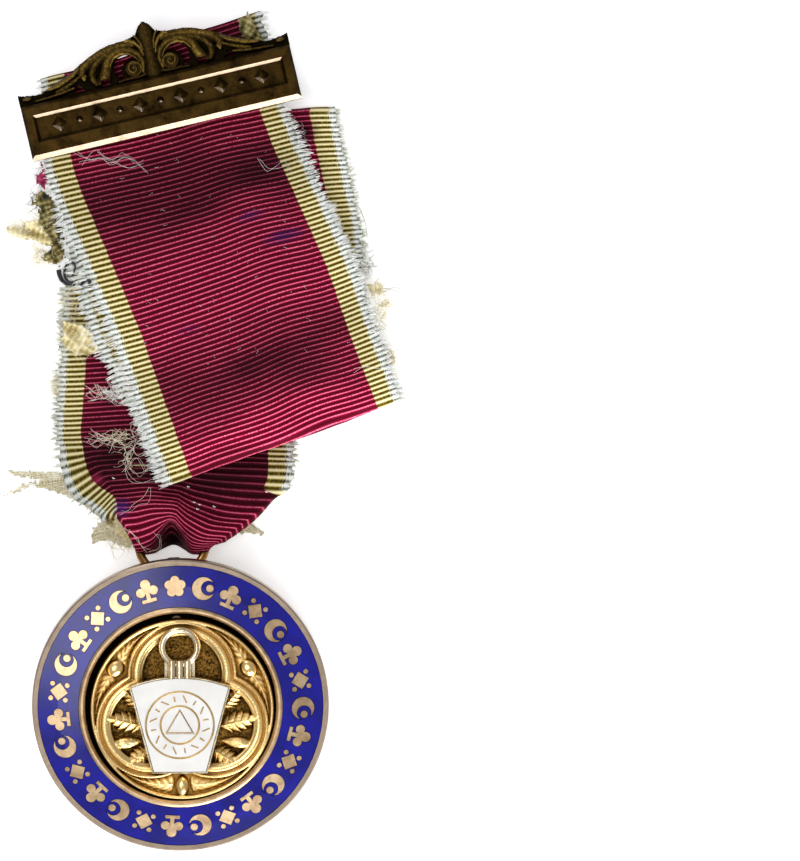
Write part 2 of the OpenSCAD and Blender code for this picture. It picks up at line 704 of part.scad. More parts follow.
// Raised scrolls and leaves on half of the crest
module scrolls() {
    low = bar_height;
    c = crest_h;
    ridge(scroll_x, scroll_y, c * 0.274, c * 0.05, -50, 245);
    translate([scroll_x - c * 0.089, scroll_y - c * 0.071, crest_t - c * 0.048]) sphere(c * 0.167);
    ridge(half_bar * 0.215, low - c * 0.119, c * 0.768, c * 0.054, 22, 82);
    ridge(half_bar * 0.215, low - c * 0.119, c * 0.655, c * 0.048, 24, 55);
    translate([half_bar * 0.525, low + c * 0.173, crest_t - 0.1]) sphere(c * 0.089);
    translate([half_bar * 0.5, low + c * 0.369, crest_t - 0.1])
        rotate([0, 0, -20]) bud(half_bar * 0.36, c * 0.083);
    translate([half_bar * 0.6, low + c * 0.143, crest_t - 0.1])
        rotate([0, 0, -3]) bud(half_bar * 0.272, c * 0.06);
    translate([half_bar * 0.94, low + c * 0.101, crest_t - 0.1]) sphere(c * 0.089);
    for (a = [0, 24, 46])
        translate([0, low + c * 0.321, crest_t - 0.2])
            rotate([0, 0, 90 - a]) bud(c * (0.369 + 0.226 * cos(a * 1.6)), c * 0.071);
}

// Distance of the sunk field from the ends, and side of the square cut off the panel's edges
field_inset = bar_length * 0.0364;
bar_chamfer = bar_height * 0.085;

module panel() {
    difference() {
        translate([-half_bar, 0, 0]) cube([bar_length, bar_height, bar_depth]);
        translate([-half_bar + field_inset, bar_height * 0.305, bar_depth - field_depth])
            cube([bar_length - 2 * field_inset, field_h, field_depth + 1]);
        translate([-half_bar + bar_wall, bar_wall, -1])
            cube([bar_length - 2 * bar_wall, bar_height - 2 * bar_wall,
                bar_depth - field_depth - bar_wall + 1]);
        for (end = [0, 1])
            mirror([end, 0, 0]) translate([half_bar, 0, bar_depth]) rotate([0, 45, 0])
                cube([bar_chamfer, 3 * bar_height, bar_chamfer], center = true);
        translate([0, 0, bar_depth]) rotate([45, 0, 0]) cube([2 * bar_length, 1, 1], center = true);
        translate([0, bar_height, bar_depth]) rotate([45, 0, 0])
            cube([2 * bar_length, bar_chamfer, bar_chamfer], center = true);
    }
}

// Two knuckles of hinge tube on a strip at one end, their axis along the bar's height
module hinge() {
    x = half_bar - hinge_r;
    low = (bar_height - 2 * knuckle - knuckle_gap) / 2;
    for (y = [low, low + knuckle + knuckle_gap])
        translate([x, y, hinge_r - bar_z]) difference() {
            union() {
                rotate([-90, 0, 0]) cylinder(r = hinge_r, h = knuckle);
                translate([hinge_r / 2, 0, 0]) cube([hinge_r / 2, knuckle, bar_z - hinge_r + small]);
            }
            translate([0, -1, 0]) rotate([-90, 0, 0]) cylinder(r = hinge_bore_r, h = knuckle + 2);
        }
}

// The catch: a strip bent to a hook, open towards the bar's middle
module catch() {
    r = hinge_r * 1.25;
    y = (bar_height - catch_w) / 2;
    translate([-half_bar + catch_t, y, 0]) {
        translate([-catch_t, 0, r - bar_z]) cube([catch_t, catch_w, bar_z - r + small]);
        translate([r - catch_t, catch_w, r - bar_z]) rotate([90, 0, 0]) difference() {
            cylinder(r = r, h = catch_w);
            translate([0, 0, -1]) cylinder(r = r - catch_t, h = catch_w + 2);
            translate([-r * 2, 0, -1]) cube([r * 4, r * 2, catch_w + 2]);
        }
    }
}

module brooch_bar() {
    color(dark_gilt) translate([bar_at[0], bar_at[1], bar_z]) rotate([0, 0, bar_turn]) {
        difference() {
            union() {
                panel();
                linear_extrude(crest_t) crest_2d();
                scrolls();
                mirror([1, 0, 0]) scrolls();
            }
            translate([-half_bar + bar_wall, bar_wall, -1])
                cube([bar_length - 2 * bar_wall, bar_height - 2 * bar_wall, 1 + bar_wall / 2]);
            for (side = [0, 1])
                mirror([side, 0, 0]) translate([0, 0, -1]) linear_extrude(bar_depth + 3) piercing_2d();
        }
        mirror([1, 0, 0]) {
            hinge();
            catch();
        }
    }
}

// Torn gauze: outlines as shares of each scrap's reach
left_outline = [
    [-1, 0.10], [-0.82, 0.165], [-0.69, 0.13], [-0.54, 0.065], [-0.41, -0.03], [-0.47, -0.1],
    [-0.47, -0.175], [-0.38, -0.15], [-0.25, -0.2], [-0.22, -0.17], [-0.29, -0.04],
    [-0.35, 0.115], [-0.5, 0.24], [-0.71, 0.245], [-0.98, 0.25], [-0.9, 0.22], [-0.75, 0.2], [-0.86, 0.17]];
right_outline = [
    [1, -0.22], [0.68, -0.19], [0.5, -0.04], [0.56, 0.18], [0.75, 0.1], [0.79, -0.07]];

module left_gauze() {
    color(cream) linear_extrude(gauze_t) polygon(left_outline * left_scrap);
}

module right_gauze() {
    color(cream) linear_extrude(gauze_t) polygon(right_outline * right_scrap);
}

medal_frame();
blue_enamel();
centre_disc();
keystone();
white_enamel();
top_rivet();
left_rivet();
right_rivet();
centre_rivet();
suspension_ring();
front_ribbon();
rear_ribbon();
brooch_bar();
left_gauze();
right_gauze();
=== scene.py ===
# %% [markdown]
# # A breast jewel, lying face up
# The real thing is a gilt and enamelled medal on a folded silk ribbon, hung from a gilt brooch bar.
# The metal parts come from the CAD frame with their exact shapes. This lesson dresses them: it gives
# every metal and enamel its finish, weaves the ribbon again with its ribs and frayed edges, and adds
# the net, the loose threads and the struck relief that are too fine for the CAD model.

import math
import random
from functools import partial

import bpy
from mathutils import Matrix, Vector, noise


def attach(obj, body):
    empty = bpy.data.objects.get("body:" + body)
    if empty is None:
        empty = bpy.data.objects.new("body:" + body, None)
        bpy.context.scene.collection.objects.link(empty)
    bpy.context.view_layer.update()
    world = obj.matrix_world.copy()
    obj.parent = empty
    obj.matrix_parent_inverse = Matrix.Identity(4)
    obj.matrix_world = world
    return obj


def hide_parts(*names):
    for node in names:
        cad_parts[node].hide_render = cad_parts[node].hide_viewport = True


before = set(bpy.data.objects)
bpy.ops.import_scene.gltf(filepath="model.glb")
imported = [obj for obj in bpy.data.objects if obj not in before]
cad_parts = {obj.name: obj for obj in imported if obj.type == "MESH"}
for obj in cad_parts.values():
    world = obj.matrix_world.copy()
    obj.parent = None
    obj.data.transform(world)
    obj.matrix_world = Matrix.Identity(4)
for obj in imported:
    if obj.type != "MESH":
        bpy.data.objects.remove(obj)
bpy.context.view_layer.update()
MM = 0.001

# %% [markdown]
# ## Camera
# The jewel was photographed from straight above. A long lens far away gives nearly parallel lines of
# sight, so a 1.2 metre stand-off is used with a narrow angle of view. The jewel fills the left half
# of the picture and the right half stays empty floor.

# %% Camera
VIEW_CENTRE = (34.05, 12.53)
STAND_OFF = 1200
VIEW_HEIGHT = 129.15


def place_camera():
    data = bpy.data.cameras.new("camera")
    data.sensor_width = 36
    data.lens = data.sensor_width * STAND_OFF / VIEW_HEIGHT
    data.clip_start = 0.05
    camera = bpy.data.objects.new("camera", data)
    camera.location = [c * MM for c in (*VIEW_CENTRE, STAND_OFF)]
    bpy.context.collection.objects.link(camera)
    bpy.context.scene.camera = camera
    print("lens", round(data.lens, 1))


place_camera()

# %% [markdown]
# ## Light
# Plain studio light. A broad panel stands above and a little to the left, where smooth enamel turns
# milky with its reflection. A lower panel at the foot catches every bevel and rib that faces it and
# throws the small shadows inside the medal. A third, smaller one beyond the bar keeps that end from
# going dark. The world is a soft grey, so that metal reflects something calm and darker than the
# panels. The floor is plain and pale.


# %% Panels and world
def area_light(name, place, aim, size, brightness):
    """A square panel; brightness is its radiance, so watts follow from its area."""
    data = bpy.data.lights.new(name, "AREA")
    data.size = size
    data.energy = brightness * math.pi * size * size
    light = bpy.data.objects.new(name, data)
    light.location = place
    light.rotation_euler = (Vector(aim) - Vector(place)).to_track_quat("-Z", "Y").to_euler()
    bpy.context.collection.objects.link(light)


HEART = (0.01, 0.01, 0)
area_light("overhead_panel", (-0.28, -0.17, 1.3), HEART, 0.72, 3.3)
area_light("foot_panel", (0.3, -1.0, 0.3), HEART, 0.7, 9)
area_light("bar_side_panel", (-0.3, 0.95, 0.6), HEART, 0.45, 4)


def hex_colour(text):
    """An sRGB colour such as #C9A45A as the linear RGBA that shaders use."""
    parts = [int(text[i : i + 2], 16) / 255 for i in (1, 3, 5)]
    linear = [c / 12.92 if c <= 0.04045 else ((c + 0.055) / 1.055) ** 2.4 for c in parts]
    return (*linear, 1)


world = bpy.data.worlds.new("studio")
world.use_nodes = True
world.node_tree.nodes["Background"].inputs["Color"].default_value = hex_colour("#F4F6FA")
world.node_tree.nodes["Background"].inputs["Strength"].default_value = 0.44
bpy.context.scene.world = world
bpy.context.scene.view_settings.view_transform = "Standard"

# %% [markdown]
# ## A helper for materials
# A finish is built from nodes. One small function adds a node, sets its options and fills its
# sockets, either with a value or with a link from another node. A colour ramp also gets its stops.


# %% Material helper
def add(tree, kind, sockets=None, stops=(), **settings):
    """Adds a node. A node given to a socket stands for its first output in use; a stop is a place and
    either a hex colour or a grey."""
    made = tree.nodes.new("ShaderNode" + kind)
    for name, value in settings.items():
        setattr(made, name, value)
    for key, value in (sockets or {}).items():
        if isinstance(value, bpy.types.Node):
            value = next(output for output in value.outputs if output.enabled)
        if isinstance(value, bpy.types.NodeSocket):
            tree.links.new(value, made.inputs[key])
        else:
            made.inputs[key].default_value = value
    if stops:
        marks = made.color_ramp.elements
        while len(marks) < len(stops):
            marks.new(0.5)
        for mark, (place, colour) in zip(marks, stops):
            mark.position = place
            mark.color = hex_colour(colour) if isinstance(colour, str) else (colour, colour, colour, 1)
    return made


def new_material(name):
    """An empty material, and the function that puts a node in it."""
    material = bpy.data.materials.new(name)
    material.use_nodes = True
    material.node_tree.nodes.clear()
    return material, partial(add, material.node_tree)


# A Mix node has several inputs called A and B: these are the two that take colours
FIRST, SECOND = 6, 7

# %% Floor
# The glow is nothing within one distance of the medal's middle and full beyond the other. Leaving it out
# under the medal is painted shade: the floor seen through the gap round the disc stays dark
GLOW_MIDDLE = Vector((1, -29, 0))
DARK_WITHIN, FULL_FROM, FULL_GLOW = 15, 21.6, 0.42


def lit_floor():
    """White acrylic lit a little from below, as on a light table; the glow is left out under the medal, a
    painted shade that keeps the floor seen through the gap round the disc dark.
    """
    material, put = new_material("lit_floor")
    place = put("TexCoord").outputs["Object"]
    out = put("VectorMath", {0: place, 1: GLOW_MIDDLE * MM}, operation="DISTANCE")
    span = {"From Min": DARK_WITHIN * MM, "From Max": FULL_FROM * MM}
    glow = put("MapRange", {"Value": out, **span, "To Max": FULL_GLOW})
    white = {"Base Color": hex_colour("#FBFBFC"), "Roughness": 0.9}
    light = {"Emission Color": hex_colour("#FFFFFF"), "Emission Strength": glow}
    put("OutputMaterial", {"Surface": put("BsdfPrincipled", {**white, **light})})
    return material


bpy.ops.object.select_all(action="DESELECT")
bpy.ops.mesh.primitive_plane_add(size=3, location=(0, 0, 0))
floor = bpy.context.object
floor.name = "floor"
floor.data.materials.append(lit_floor())

# %% [markdown]
# ## How the ribbon lies
# The ribbon is one band of ribbed silk, drawn as rows that cross it. A row holds its middle point, the
# turn of its ribs, its half widths left and right, how far past the foot it is and how much it gathers.
# The rows follow the CAD model's own tables, so the cloth lies where its solids are: under the bar,
# down the front, round the lower fold, up behind, round the upper fold and down to the ring.

# %% Rows of the ribbon
RIBBON_WIDTH = 38.0
CLOTH = 1.0
LAYER_GAP = 0.3
FRONT_DROP, FRONT_TUCK, MIDDLE_RISE = 48.9, 12.8, 47.0
THIRD_DROP, REAR_DROP, TAIL = 45.0, 62.2, 10.0
BAR_TURN = 13.3
BAR_AT = Vector((-0.6, 57.4, 0))
UPPER_FOLD_AT = Vector((6, 58.9, 0))
REAR_Z = CLOTH / 2
THIRD_Z = REAR_Z + CLOTH + LAYER_GAP
MIDDLE_Z = THIRD_Z + CLOTH + LAYER_GAP
FRONT_Z = MIDDLE_Z + CLOTH + LAYER_GAP
BAR_Z = FRONT_Z + CLOTH / 2 + LAYER_GAP
LAYER_FOLD = (CLOTH + LAYER_GAP) / 2
HEADINGS = {"front": 21.8, "middle": 203.5, "third": 11, "rear": -7.5}

# Stations: share of the length, sideways share, lift, turn, left share, right share, gathers
TUCK = [(0, 0, 0, 17.5, 0.92, 0.97, 0), (1, 0, 0, 13.3, 1.04, 0.97, 0)]
FRONT = [
    (0, 0, 0, 13.3, 1.06, 0.97, 0),
    (0.12, -0.02, 0, 14, 1.03, 1.01, 0),
    (0.30, 0, 0.8, 16, 1.06, 0.98, 0),
    (0.55, 0.005, 1.1, 18, 1.055, 0.995, 0),
    (0.78, 0, 0.5, 19.5, 1.075, 0.965, 0),
    (1, 0, 0, 20, 1.105, 0.955, 0),
]
MIDDLE = [
    (0, 0, 0, 20, 1.11, 0.96, 0),
    (0.25, 0, 0, 19.5, 1.1, 1.0, 0),
    (0.5, 0, 0, 19, 1.15, 1.05, 0),
    (0.75, 0, 0, 17, 1.07, 1.0, 0),
    (1, 0, 0, 14, 0.98, 0.93, 0),
]
THIRD = [
    (0, 0, 0, 4, 0.97, 1.01, 0),
    (0.15, 0, 0, 5, 0.97, 1.01, 0),
    (0.43, 0.007, 0, 8, 1, 1.01, 0),
    (0.6, 0.01, 0, 10, 1, 0.93, 0),
    (1, 0, 0.2, 14, 0.96, 0.88, 0),
]
REAR = [
    (0, 0, 0, 4, 0.97, 1, 0),
    (0.4, 0, 0, 2, 1.05, 0.96, 0),
    (0.6, 0.005, 0, 1, 1.0, 0.96, 0),
    (0.76, 0.01, 0, 0, 0.975, 0.975, 0),
    (0.826, 0.022, 0.7, 0, 0.918, 0.985, 0),
    (0.846, 0.026, 1.05, 0, 0.871, 0.989, 0),
    (0.87, 0.03, 1.15, 0, 0.776, 0.94, 0),
    (0.8775, 0.031, 1.2, 0, 0.745, 0.87, 0.1),
    (0.893, 0.034, 1.3, 0, 0.682, 0.8, 0.1),
    (0.913, 0.038, 2.1, 0, 0.626, 0.675, 0.1),
    (0.937, 0.044, 3.6, 0, 0.515, 0.55, 0.15),
    (0.955, 0.047, 4.5, 0, 0.45, 0.47, 0.15),
    (0.976, 0.051, 5.15, 0, 0.4, 0.42, 0.15),
    (1, 0.055, 5.2, 0, 0.36, 0.395, 0.1),
]
WRAP_SHARES = [(0.35, 0.375), (0.345, 0.355), (0.34, 0.345), (0.34, 0.34)]
TAIL_ROWS = [
    (0, 0, 0, 0, 0.22, 0.22, 0),
    (0.4, 0, 0, 0, 0.27, 0.27, 0),
    (1, 0, 0, 0, 0.4, 0.4, 0),
]
FAR = -99.0
# What each value of a row is; the length along the cloth is added when the rows are taken again
CENTRE, TURN, LEFT, RIGHT, PAST, GATHERS, ALONG = range(7)


def plan(heading):
    """Unit steps ahead along a heading and aside to its right, seen from above."""
    a = math.radians(heading)
    return Vector((math.sin(a), -math.cos(a), 0)), Vector((math.cos(a), math.sin(a), 0))


def between(table, at):
    """The values of a table at a place between two of its rows; the first column is the place."""
    i = max(k for k in range(len(table) - 1) if table[k][0] <= at or k == 0)
    low, high = table[i], table[i + 1]
    t = (at - low[0]) / (high[0] - low[0])
    return [a + (b - a) * t for a, b in zip(low, high)]


def run(table, start, heading, length, z, steps):
    """Rows of one straight layer: middle, turn, half widths, place past the foot, gathers."""
    ahead, aside = plan(heading)
    rows = []
    for k in range(steps + 1):
        _, side, lift, turn, left, right, gathers = between(table, k / steps)
        middle = start + ahead * length * k / steps + aside * side * RIBBON_WIDTH
        middle.z = z + lift
        rows.append([middle, turn, left * RIBBON_WIDTH / 2, right * RIBBON_WIDTH / 2, FAR, gathers])
    return rows


FOLD_STEPS = 8


def fold(row, heading, radius):
    """Rows of the half turn that takes the cloth down to the next layer."""
    ahead = plan(heading)[0]
    turned = []
    for k in range(1, FOLD_STEPS):
        a = math.pi * k / FOLD_STEPS
        drop = Vector((0, 0, radius * (1 - math.cos(a))))
        turned.append([row[CENTRE] + ahead * radius * math.sin(a) - drop] + row[1:])
    return turned


def flat(point):
    return Vector((point.x, point.y, 0))


def front_rows():
    up = plan(BAR_TURN)[0] * -1
    tuck = run(TUCK, BAR_AT + up * FRONT_TUCK, BAR_TURN, FRONT_TUCK * 0.96, FRONT_Z, 4)
    down = run(FRONT, BAR_AT, HEADINGS["front"], FRONT_DROP, FRONT_Z + LAYER_FOLD * 0.3, 22)
    foot = down[-1][CENTRE]
    turned = fold(down[-1], HEADINGS["front"], (foot.z - MIDDLE_Z) / 2)
    behind = run(MIDDLE, flat(foot), HEADINGS["middle"], MIDDLE_RISE, MIDDLE_Z, 14)
    return tuck + down[1:] + turned + behind


REAR_STEPS, TAIL_STEPS = 60, 8


def rear_rows():
    third = run(THIRD, UPPER_FOLD_AT, HEADINGS["third"], THIRD_DROP, THIRD_Z, 14)
    over = fold(third[0], HEADINGS["rear"] + 180, LAYER_FOLD)
    rear = run(REAR, UPPER_FOLD_AT, HEADINGS["rear"], REAR_DROP, REAR_Z, REAR_STEPS)
    for k, row in enumerate(rear):
        row[PAST] = (k / REAR_STEPS - 1) * REAR_DROP
    foot = rear[-1]
    bend = (foot[CENTRE].z - REAR_Z) / 2
    wrap = fold(foot, 0, bend)
    for k, row in enumerate(wrap):
        left, right = WRAP_SHARES[min(k, 3)]
        past = math.pi * bend * (k + 1) / FOLD_STEPS
        row[1:] = [0, left * RIBBON_WIDTH / 2, right * RIBBON_WIDTH / 2, past, 0]
    tail = run(TAIL_ROWS, flat(foot[CENTRE]), 180, TAIL, REAR_Z, TAIL_STEPS)
    for k, row in enumerate(tail):
        row[PAST] = math.pi * bend + TAIL * k / TAIL_STEPS
    return third[::-1] + over + rear + wrap + tail


# %% [markdown]
# ## Weaving the ribs
# Ribbed silk has thick weft cords about three quarters of a millimetre apart, closely covered by fine
# warp threads. The rows are taken again at six to a rib and each rib is rounded up from the cloth, so
# that light catches it as it does the real cords. The mesh keeps the cloth's own millimetres in its
# UV map: across from the middle and along from the start, for the stripes and threads of its finish.
# At the foot the rear layer is gathered on the ring: its edges are turned under, its sides hang lower
# than its middle, and a hollow is left above the ring. A short table of drops shapes this drape.

# %% Fine rows
RIB = 0.76
PER_RIB = 6
RIB_HEIGHT = 0.12
SILK = 0.5
WOVEN = 36.7
GOLD_STRIPE = 2.8
BARE_WEFT = 1.15
COLUMNS = 36
# How far the woven edge stays inside that of the row, and the radius of an edge that is turned under
FRINGE_ROOM = 0.75
TUCK_RADIUS = 0.45
# How far the ribs bow out of a straight line, since old cloth has been pulled askew
RIB_BOW = 0.8


def smooth_rows(rows):
    """The rows taken again evenly along the cloth, on a curve through the rows that are given."""
    lengths = [0.0]
    for a, b in zip(rows, rows[1:]):
        lengths.append(lengths[-1] + (b[CENTRE] - a[CENTRE]).length)
    count = int(lengths[-1] / RIB * PER_RIB)
    fine = []
    i = 0
    for k in range(count + 1):
        s = lengths[-1] * k / count
        while i < len(rows) - 2 and lengths[i + 1] < s:
            i += 1
        gap = lengths[i + 1] - lengths[i]
        t = (s - lengths[i]) / gap
        a, b = rows[i], rows[i + 1]
        first, last = max(i - 1, 0), min(i + 2, len(rows) - 1)
        slope_a = (b[CENTRE] - rows[first][CENTRE]) / (lengths[i + 1] - lengths[first]) * gap
        slope_b = (rows[last][CENTRE] - a[CENTRE]) / (lengths[last] - lengths[i]) * gap
        middle = (
            a[CENTRE] * (2 * t**3 - 3 * t * t + 1)
            + slope_a * (t**3 - 2 * t * t + t)
            + b[CENTRE] * (3 * t * t - 2 * t**3)
            + slope_b * (t**3 - t * t)
        )
        fine.append([middle] + [a[c] + (b[c] - a[c]) * t for c in range(1, 6)] + [s])
    return fine


def cloth_frame(rows, i):
    """Directions along the rib, along the cloth and up out of it, at one row."""
    after, before = rows[min(i + 2, len(rows) - 1)], rows[max(i - 2, 0)]
    ahead = (after[CENTRE] - before[CENTRE]).normalized()
    turn = math.radians(rows[i][TURN])
    rib = Vector((math.cos(turn), math.sin(turn), 0))
    up = ahead.cross(rib).normalized()
    return rib, ahead, up


def cloth_point(rows, i, across, tuck, side):
    """The point of the cloth this many millimetres from its middle; side is 1 on top and -1 below."""
    row = rows[i]
    rib, ahead, up = cloth_frame(rows, i)
    half = WOVEN / 2
    way = -1 if across < 0 else 1
    turned_under = tuck[0] if across < 0 else tuck[1]
    reach = (row[LEFT] if across < 0 else row[RIGHT]) - FRINGE_ROOM - 0.12 * turned_under
    fold_at = half - turned_under
    under = 0.0
    if abs(across) > fold_at and turned_under > 0:
        travel = abs(across) - fold_at
        curl = min(travel / TUCK_RADIUS, math.pi)
        offset = reach + TUCK_RADIUS * math.sin(curl) - max(0, travel - math.pi * TUCK_RADIUS) * 0.8
        offset *= way
        under = TUCK_RADIUS * (1 - math.cos(curl))
        side *= math.cos(curl)
    else:
        bare = max(0.0, abs(across) - half + BARE_WEFT)
        worn = bare * 0.5 * noise.noise(Vector((row[ALONG] * 1.1, way * 7.0, 1.3)))
        offset = reach * across / fold_at + way * worn
    u = max(-1.0, min(1.0, offset / max(reach, 0.1)))
    ripple = row[GATHERS] * (1 - math.cos(math.radians(u * 540))) / 2
    waver = 0.12 * noise.noise(Vector((across * 0.35, row[ALONG] * 0.16, 3.7)))
    rib_up = RIB_HEIGHT * abs(math.sin(math.pi * row[ALONG] / RIB)) if abs(side) == 1 else 0
    drop = Vector((0, foot_drop(row[PAST], offset, max(reach, 0.1)), 0))
    bow = RIB_BOW * noise.noise(Vector((across * 0.085, row[ALONG] * 0.035, 8.1)))
    lift = side * (SILK / 2 + rib_up) + ripple + waver - under
    return row[CENTRE] + rib * offset + ahead * bow - drop + up * lift


# %% Drape at the foot
HOLLOW_HALF = 3.3
# Each row: millimetres past the foot, slope of the left corner, its crease, and how far the left side
# drops, the right side drops and the middle is pulled back over the ring
DRAPE = [
    (-13.1, 0, 12, 0, 0, 0),
    (-10.8, 0.3, 11.7, 0, 0, 0),
    (-9.6, 0.6, 10.95, 0, 0.5, 0),
    (-8.1, 0.75, 9.9, 0, 1.2, 0),
    (-6.65, 0.86, 9.15, 0, 2.2, 0),
    (-5.4, 1, 8.7, 0, 3.0, 0),
    (-3.9, 1, 8.3, 0.5, 3.3, 0),
    (-2.8, 0.6, 8, 0.9, 3.3, 0),
    (-1.5, 0, 8, 1.4, 2.6, 0.6),
    (0, 0, 8, 1.6, 1.6, 2.0),
    (1, 0, 8, 1.2, 0.9, 3.0),
    (2, 0, 8, 0.6, 0.5, 3.6),
    (3.1, 0, 8, 0.2, 0.2, 2.9),
    (4.1, 0, 8, 0, 0, 1.5),
    (6, 0, 8, 0, 0, 0.7),
    (12, 0, 8, 0, 0, 0),
]


def soft_step(value, low, high):
    """Rises gently from nothing at low to one at high."""
    t = max(0.0, min(1.0, (value - low) / (high - low)))
    return t * t * (3 - 2 * t)


def foot_drop(past, offset, reach):
    """How far a point of the rear layer hangs lower than its row, in millimetres."""
    if not DRAPE[0][0] < past < DRAPE[-1][0]:
        return 0.0
    _, slope, crease, left, right, hollow = between(DRAPE, past)
    out = min(1.0, abs(offset) / reach)
    side = math.sin(math.pi * out / 2) * soft_step(out, 0, 0.2)
    drop = (left if offset < 0 else right) * side + slope * max(0.0, -offset - crease)
    if abs(offset) < HOLLOW_HALF:
        drop -= hollow * (math.cos(math.pi * offset / HOLLOW_HALF) + 1) / 2
    return drop


# Width turned under, and from where to where the left and the right edge turn, past the foot
TUCKED = 5.2
LEFT_TURNS, RIGHT_TURNS = (-5.4, -2.8), (-8.3, -7.4)


def tuck_for(rows, i):
    """How much of the left and right edge is turned under: only where the rear layer is gathered."""
    return [TUCKED * soft_step(rows[i][PAST], *turns) for turns in (LEFT_TURNS, RIGHT_TURNS)]


# %% Weave the ribbon
def weave(name, rows):
    columns = [WOVEN * (k / COLUMNS - 0.5) for k in range(COLUMNS + 1)]
    ring = [(c, 1) for c in columns] + [(c, -1) for c in reversed(columns)]
    points, places = [], []
    for i in range(len(rows)):
        tuck = tuck_for(rows, i)
        for across, side in ring:
            points.append(cloth_point(rows, i, across, tuck, side) * MM)
            places.append((across, rows[i][ALONG]))
    m = len(ring)
    faces = [
        (i * m + k, i * m + (k + 1) % m, (i + 1) * m + (k + 1) % m, (i + 1) * m + k)
        for i in range(len(rows) - 1)
        for k in range(m)
    ]
    for end in (0, len(rows) - 1):
        for k in range(COLUMNS):
            a, b, c, d = end * m + k, end * m + k + 1, end * m + m - 2 - k, end * m + m - 1 - k
            faces.append((a, d, c, b) if end == 0 else (a, b, c, d))
    mesh = bpy.data.meshes.new(name)
    mesh.from_pydata(points, [], faces)
    cloth = mesh.uv_layers.new(name="cloth_mm")
    for loop in mesh.loops:
        cloth.data[loop.index].uv = places[loop.vertex_index]
    mesh.shade_smooth()
    piece = bpy.data.objects.new(name, mesh)
    bpy.context.collection.objects.link(piece)
    print(name, "rows", len(rows), "length", round(rows[-1][ALONG], 1), "mm, faces", len(faces))
    return piece


front_fine = smooth_rows(front_rows())
rear_fine = smooth_rows(rear_rows())
front_silk = weave("front_silk", front_fine)
rear_silk = weave("rear_silk", rear_fine)

# %% [markdown]
# ## Silk
# Ribbed silk of this kind is dyed crimson with a gold stripe along each edge. Its colour is painted lighter
# along the tops of the cords, a painted highlight, and darker in the valleys between them, a painted shade.
# The stripes, this painted rib shading and the fine warp are read from the cloth's own millimetres, so they
# follow every fold. Lighter and darker bands along the ribbon, which a table of factors gives, are painted
# light and shade of its waves and folds and partly dirt. Soft blots at their places on the jewel are old
# stains, painted shadows and a painted highlight.

# %% Silk finish
# Each ramp runs from painted shade in the rib valleys to a painted highlight on the rib tops.
CRIMSON_LIT_RIBS = [(0.0, "#440210"), (0.35, "#620422"), (0.68, "#8A0A36"), (0.88, "#B8204A"), (1.0, "#DC7890")]
GOLD_LIT_RIBS = [(0.0, "#3A3008"), (0.3, "#7C6A24"), (0.62, "#C6B268"), (1.0, "#FFF4C8")]
UNDYED_LIT_RIBS = [(0.0, "#666A5A"), (0.25, "#A8AE9C"), (0.5, "#DCE2D8"), (1.0, "#FFFFFF")]
# How light the silk is painted along its length, as painted light and shade of its waves and folds and
# partly as dirt: millimetres along the cloth, factor
LIGHT_AND_DIRT_BANDS = [
    (0, 0.8), (12, 1.0), (15, 0.8), (18, 0.4), (24, 0.37), (28, 0.9), (34, 1.2), (42, 1.28), (46, 0.85),
    (49, 0.56), (53, 0.78), (57, 1.2), (59.5, 1.8), (62, 2.2), (64, 1.4), (80, 0.75), (89, 0.8), (93, 0.5),
    (96, 0.28), (101, 0.36), (104, 0.9), (106, 1.3), (110, 1.4), (113, 0.5),
]
BANDED = 130
# Blots: x, y, radius in millimetres, how far drawn out along the ribs, strength and colour. The blue and
# violet ones are stains, the dark crimson and black ones painted shadow and the pink one a painted
# highlight
STAINS_AND_PAINTED_LIGHT = [
    (16.8, 41.6, 0.95, 3, 0.66, "#10104A"),
    (11.5, 44.6, 0.7, 3, 0.5, "#2C1250"),
    (12.6, 51.3, 2.3, 2.2, 0.62, "#1A020A"),
    (4.6, 45.6, 1.9, 3, 0.4, "#20020C"),
    (20.0, 57.4, 1.8, 1, 0.85, "#120206"),
    (9.5, 70.0, 4.2, 1.5, 0.7, "#1A0308"),
    (21.2, 51.2, 1.3, 0.8, 0.6, "#1A0308"),
    (11.5, 22.2, 1.8, 3.2, 0.6, "#22020C"),
    (16.0, 25.0, 2.0, 3, 0.35, "#22020C"),
    (20.0, 21.6, 2.3, 2.2, 0.5, "#1E020A"),
    (2.5, 27.6, 0.8, 2.4, 0.3, "#3E0E50"),
    (-11.3, 5.2, 0.8, 1.2, 0.45, "#B42C5C"),
    (-7.6, 0.9, 1.1, 1.3, 0.5, "#2C2C88"),
    (-8.6, 8.8, 2.8, 1.4, 0.6, "#120207"),
    (-3.5, 6.4, 2.0, 1.6, 0.6, "#120207"),
    (-9.4, 17.1, 1.5, 1.6, 0.5, "#1E0412"),
    (7.5, 5.2, 1.9, 3.2, 0.45, "#18020A"),
    (0.1, -4.2, 2.1, 1.35, 1, "#060102"),
]


# Sizes of the patterns across and along the cloth, in millimetres: flecks of the warp, the wandering edges
# of the stripes and the drifting bands; then how far they reach, the grain of a blot's rim and the turn of
# the blots, which are drawn out along the ribs
WARP, WANDER, DRIFT = (0.1111, 0.625), (5, 2), (20, 9.09)
WANDER_BY, FRAY_BY, DRIFT_BY = 0.3, 2.2, 14
BLOT_RIM_GRAIN = 1.538
RIB_TURN = 0.28


def cloth_noise(put, cloth, size, detail):
    """Cloudy noise drawn out to a size across and along the cloth."""
    stretched = put("Mapping", {"Vector": cloth, "Scale": (1 / size[0], 1 / size[1], 1)})
    return put("TexNoise", {"Vector": stretched, "Scale": 1, "Detail": detail})


def body_noise(put, size, detail, roughness):
    """Cloudy noise that is fixed to the piece, its largest clouds this many millimetres across."""
    clouds = {"Scale": 1 / (size * MM), "Detail": detail, "Roughness": roughness}
    return put("TexNoise", {"Vector": put("TexCoord").outputs["Object"], **clouds})


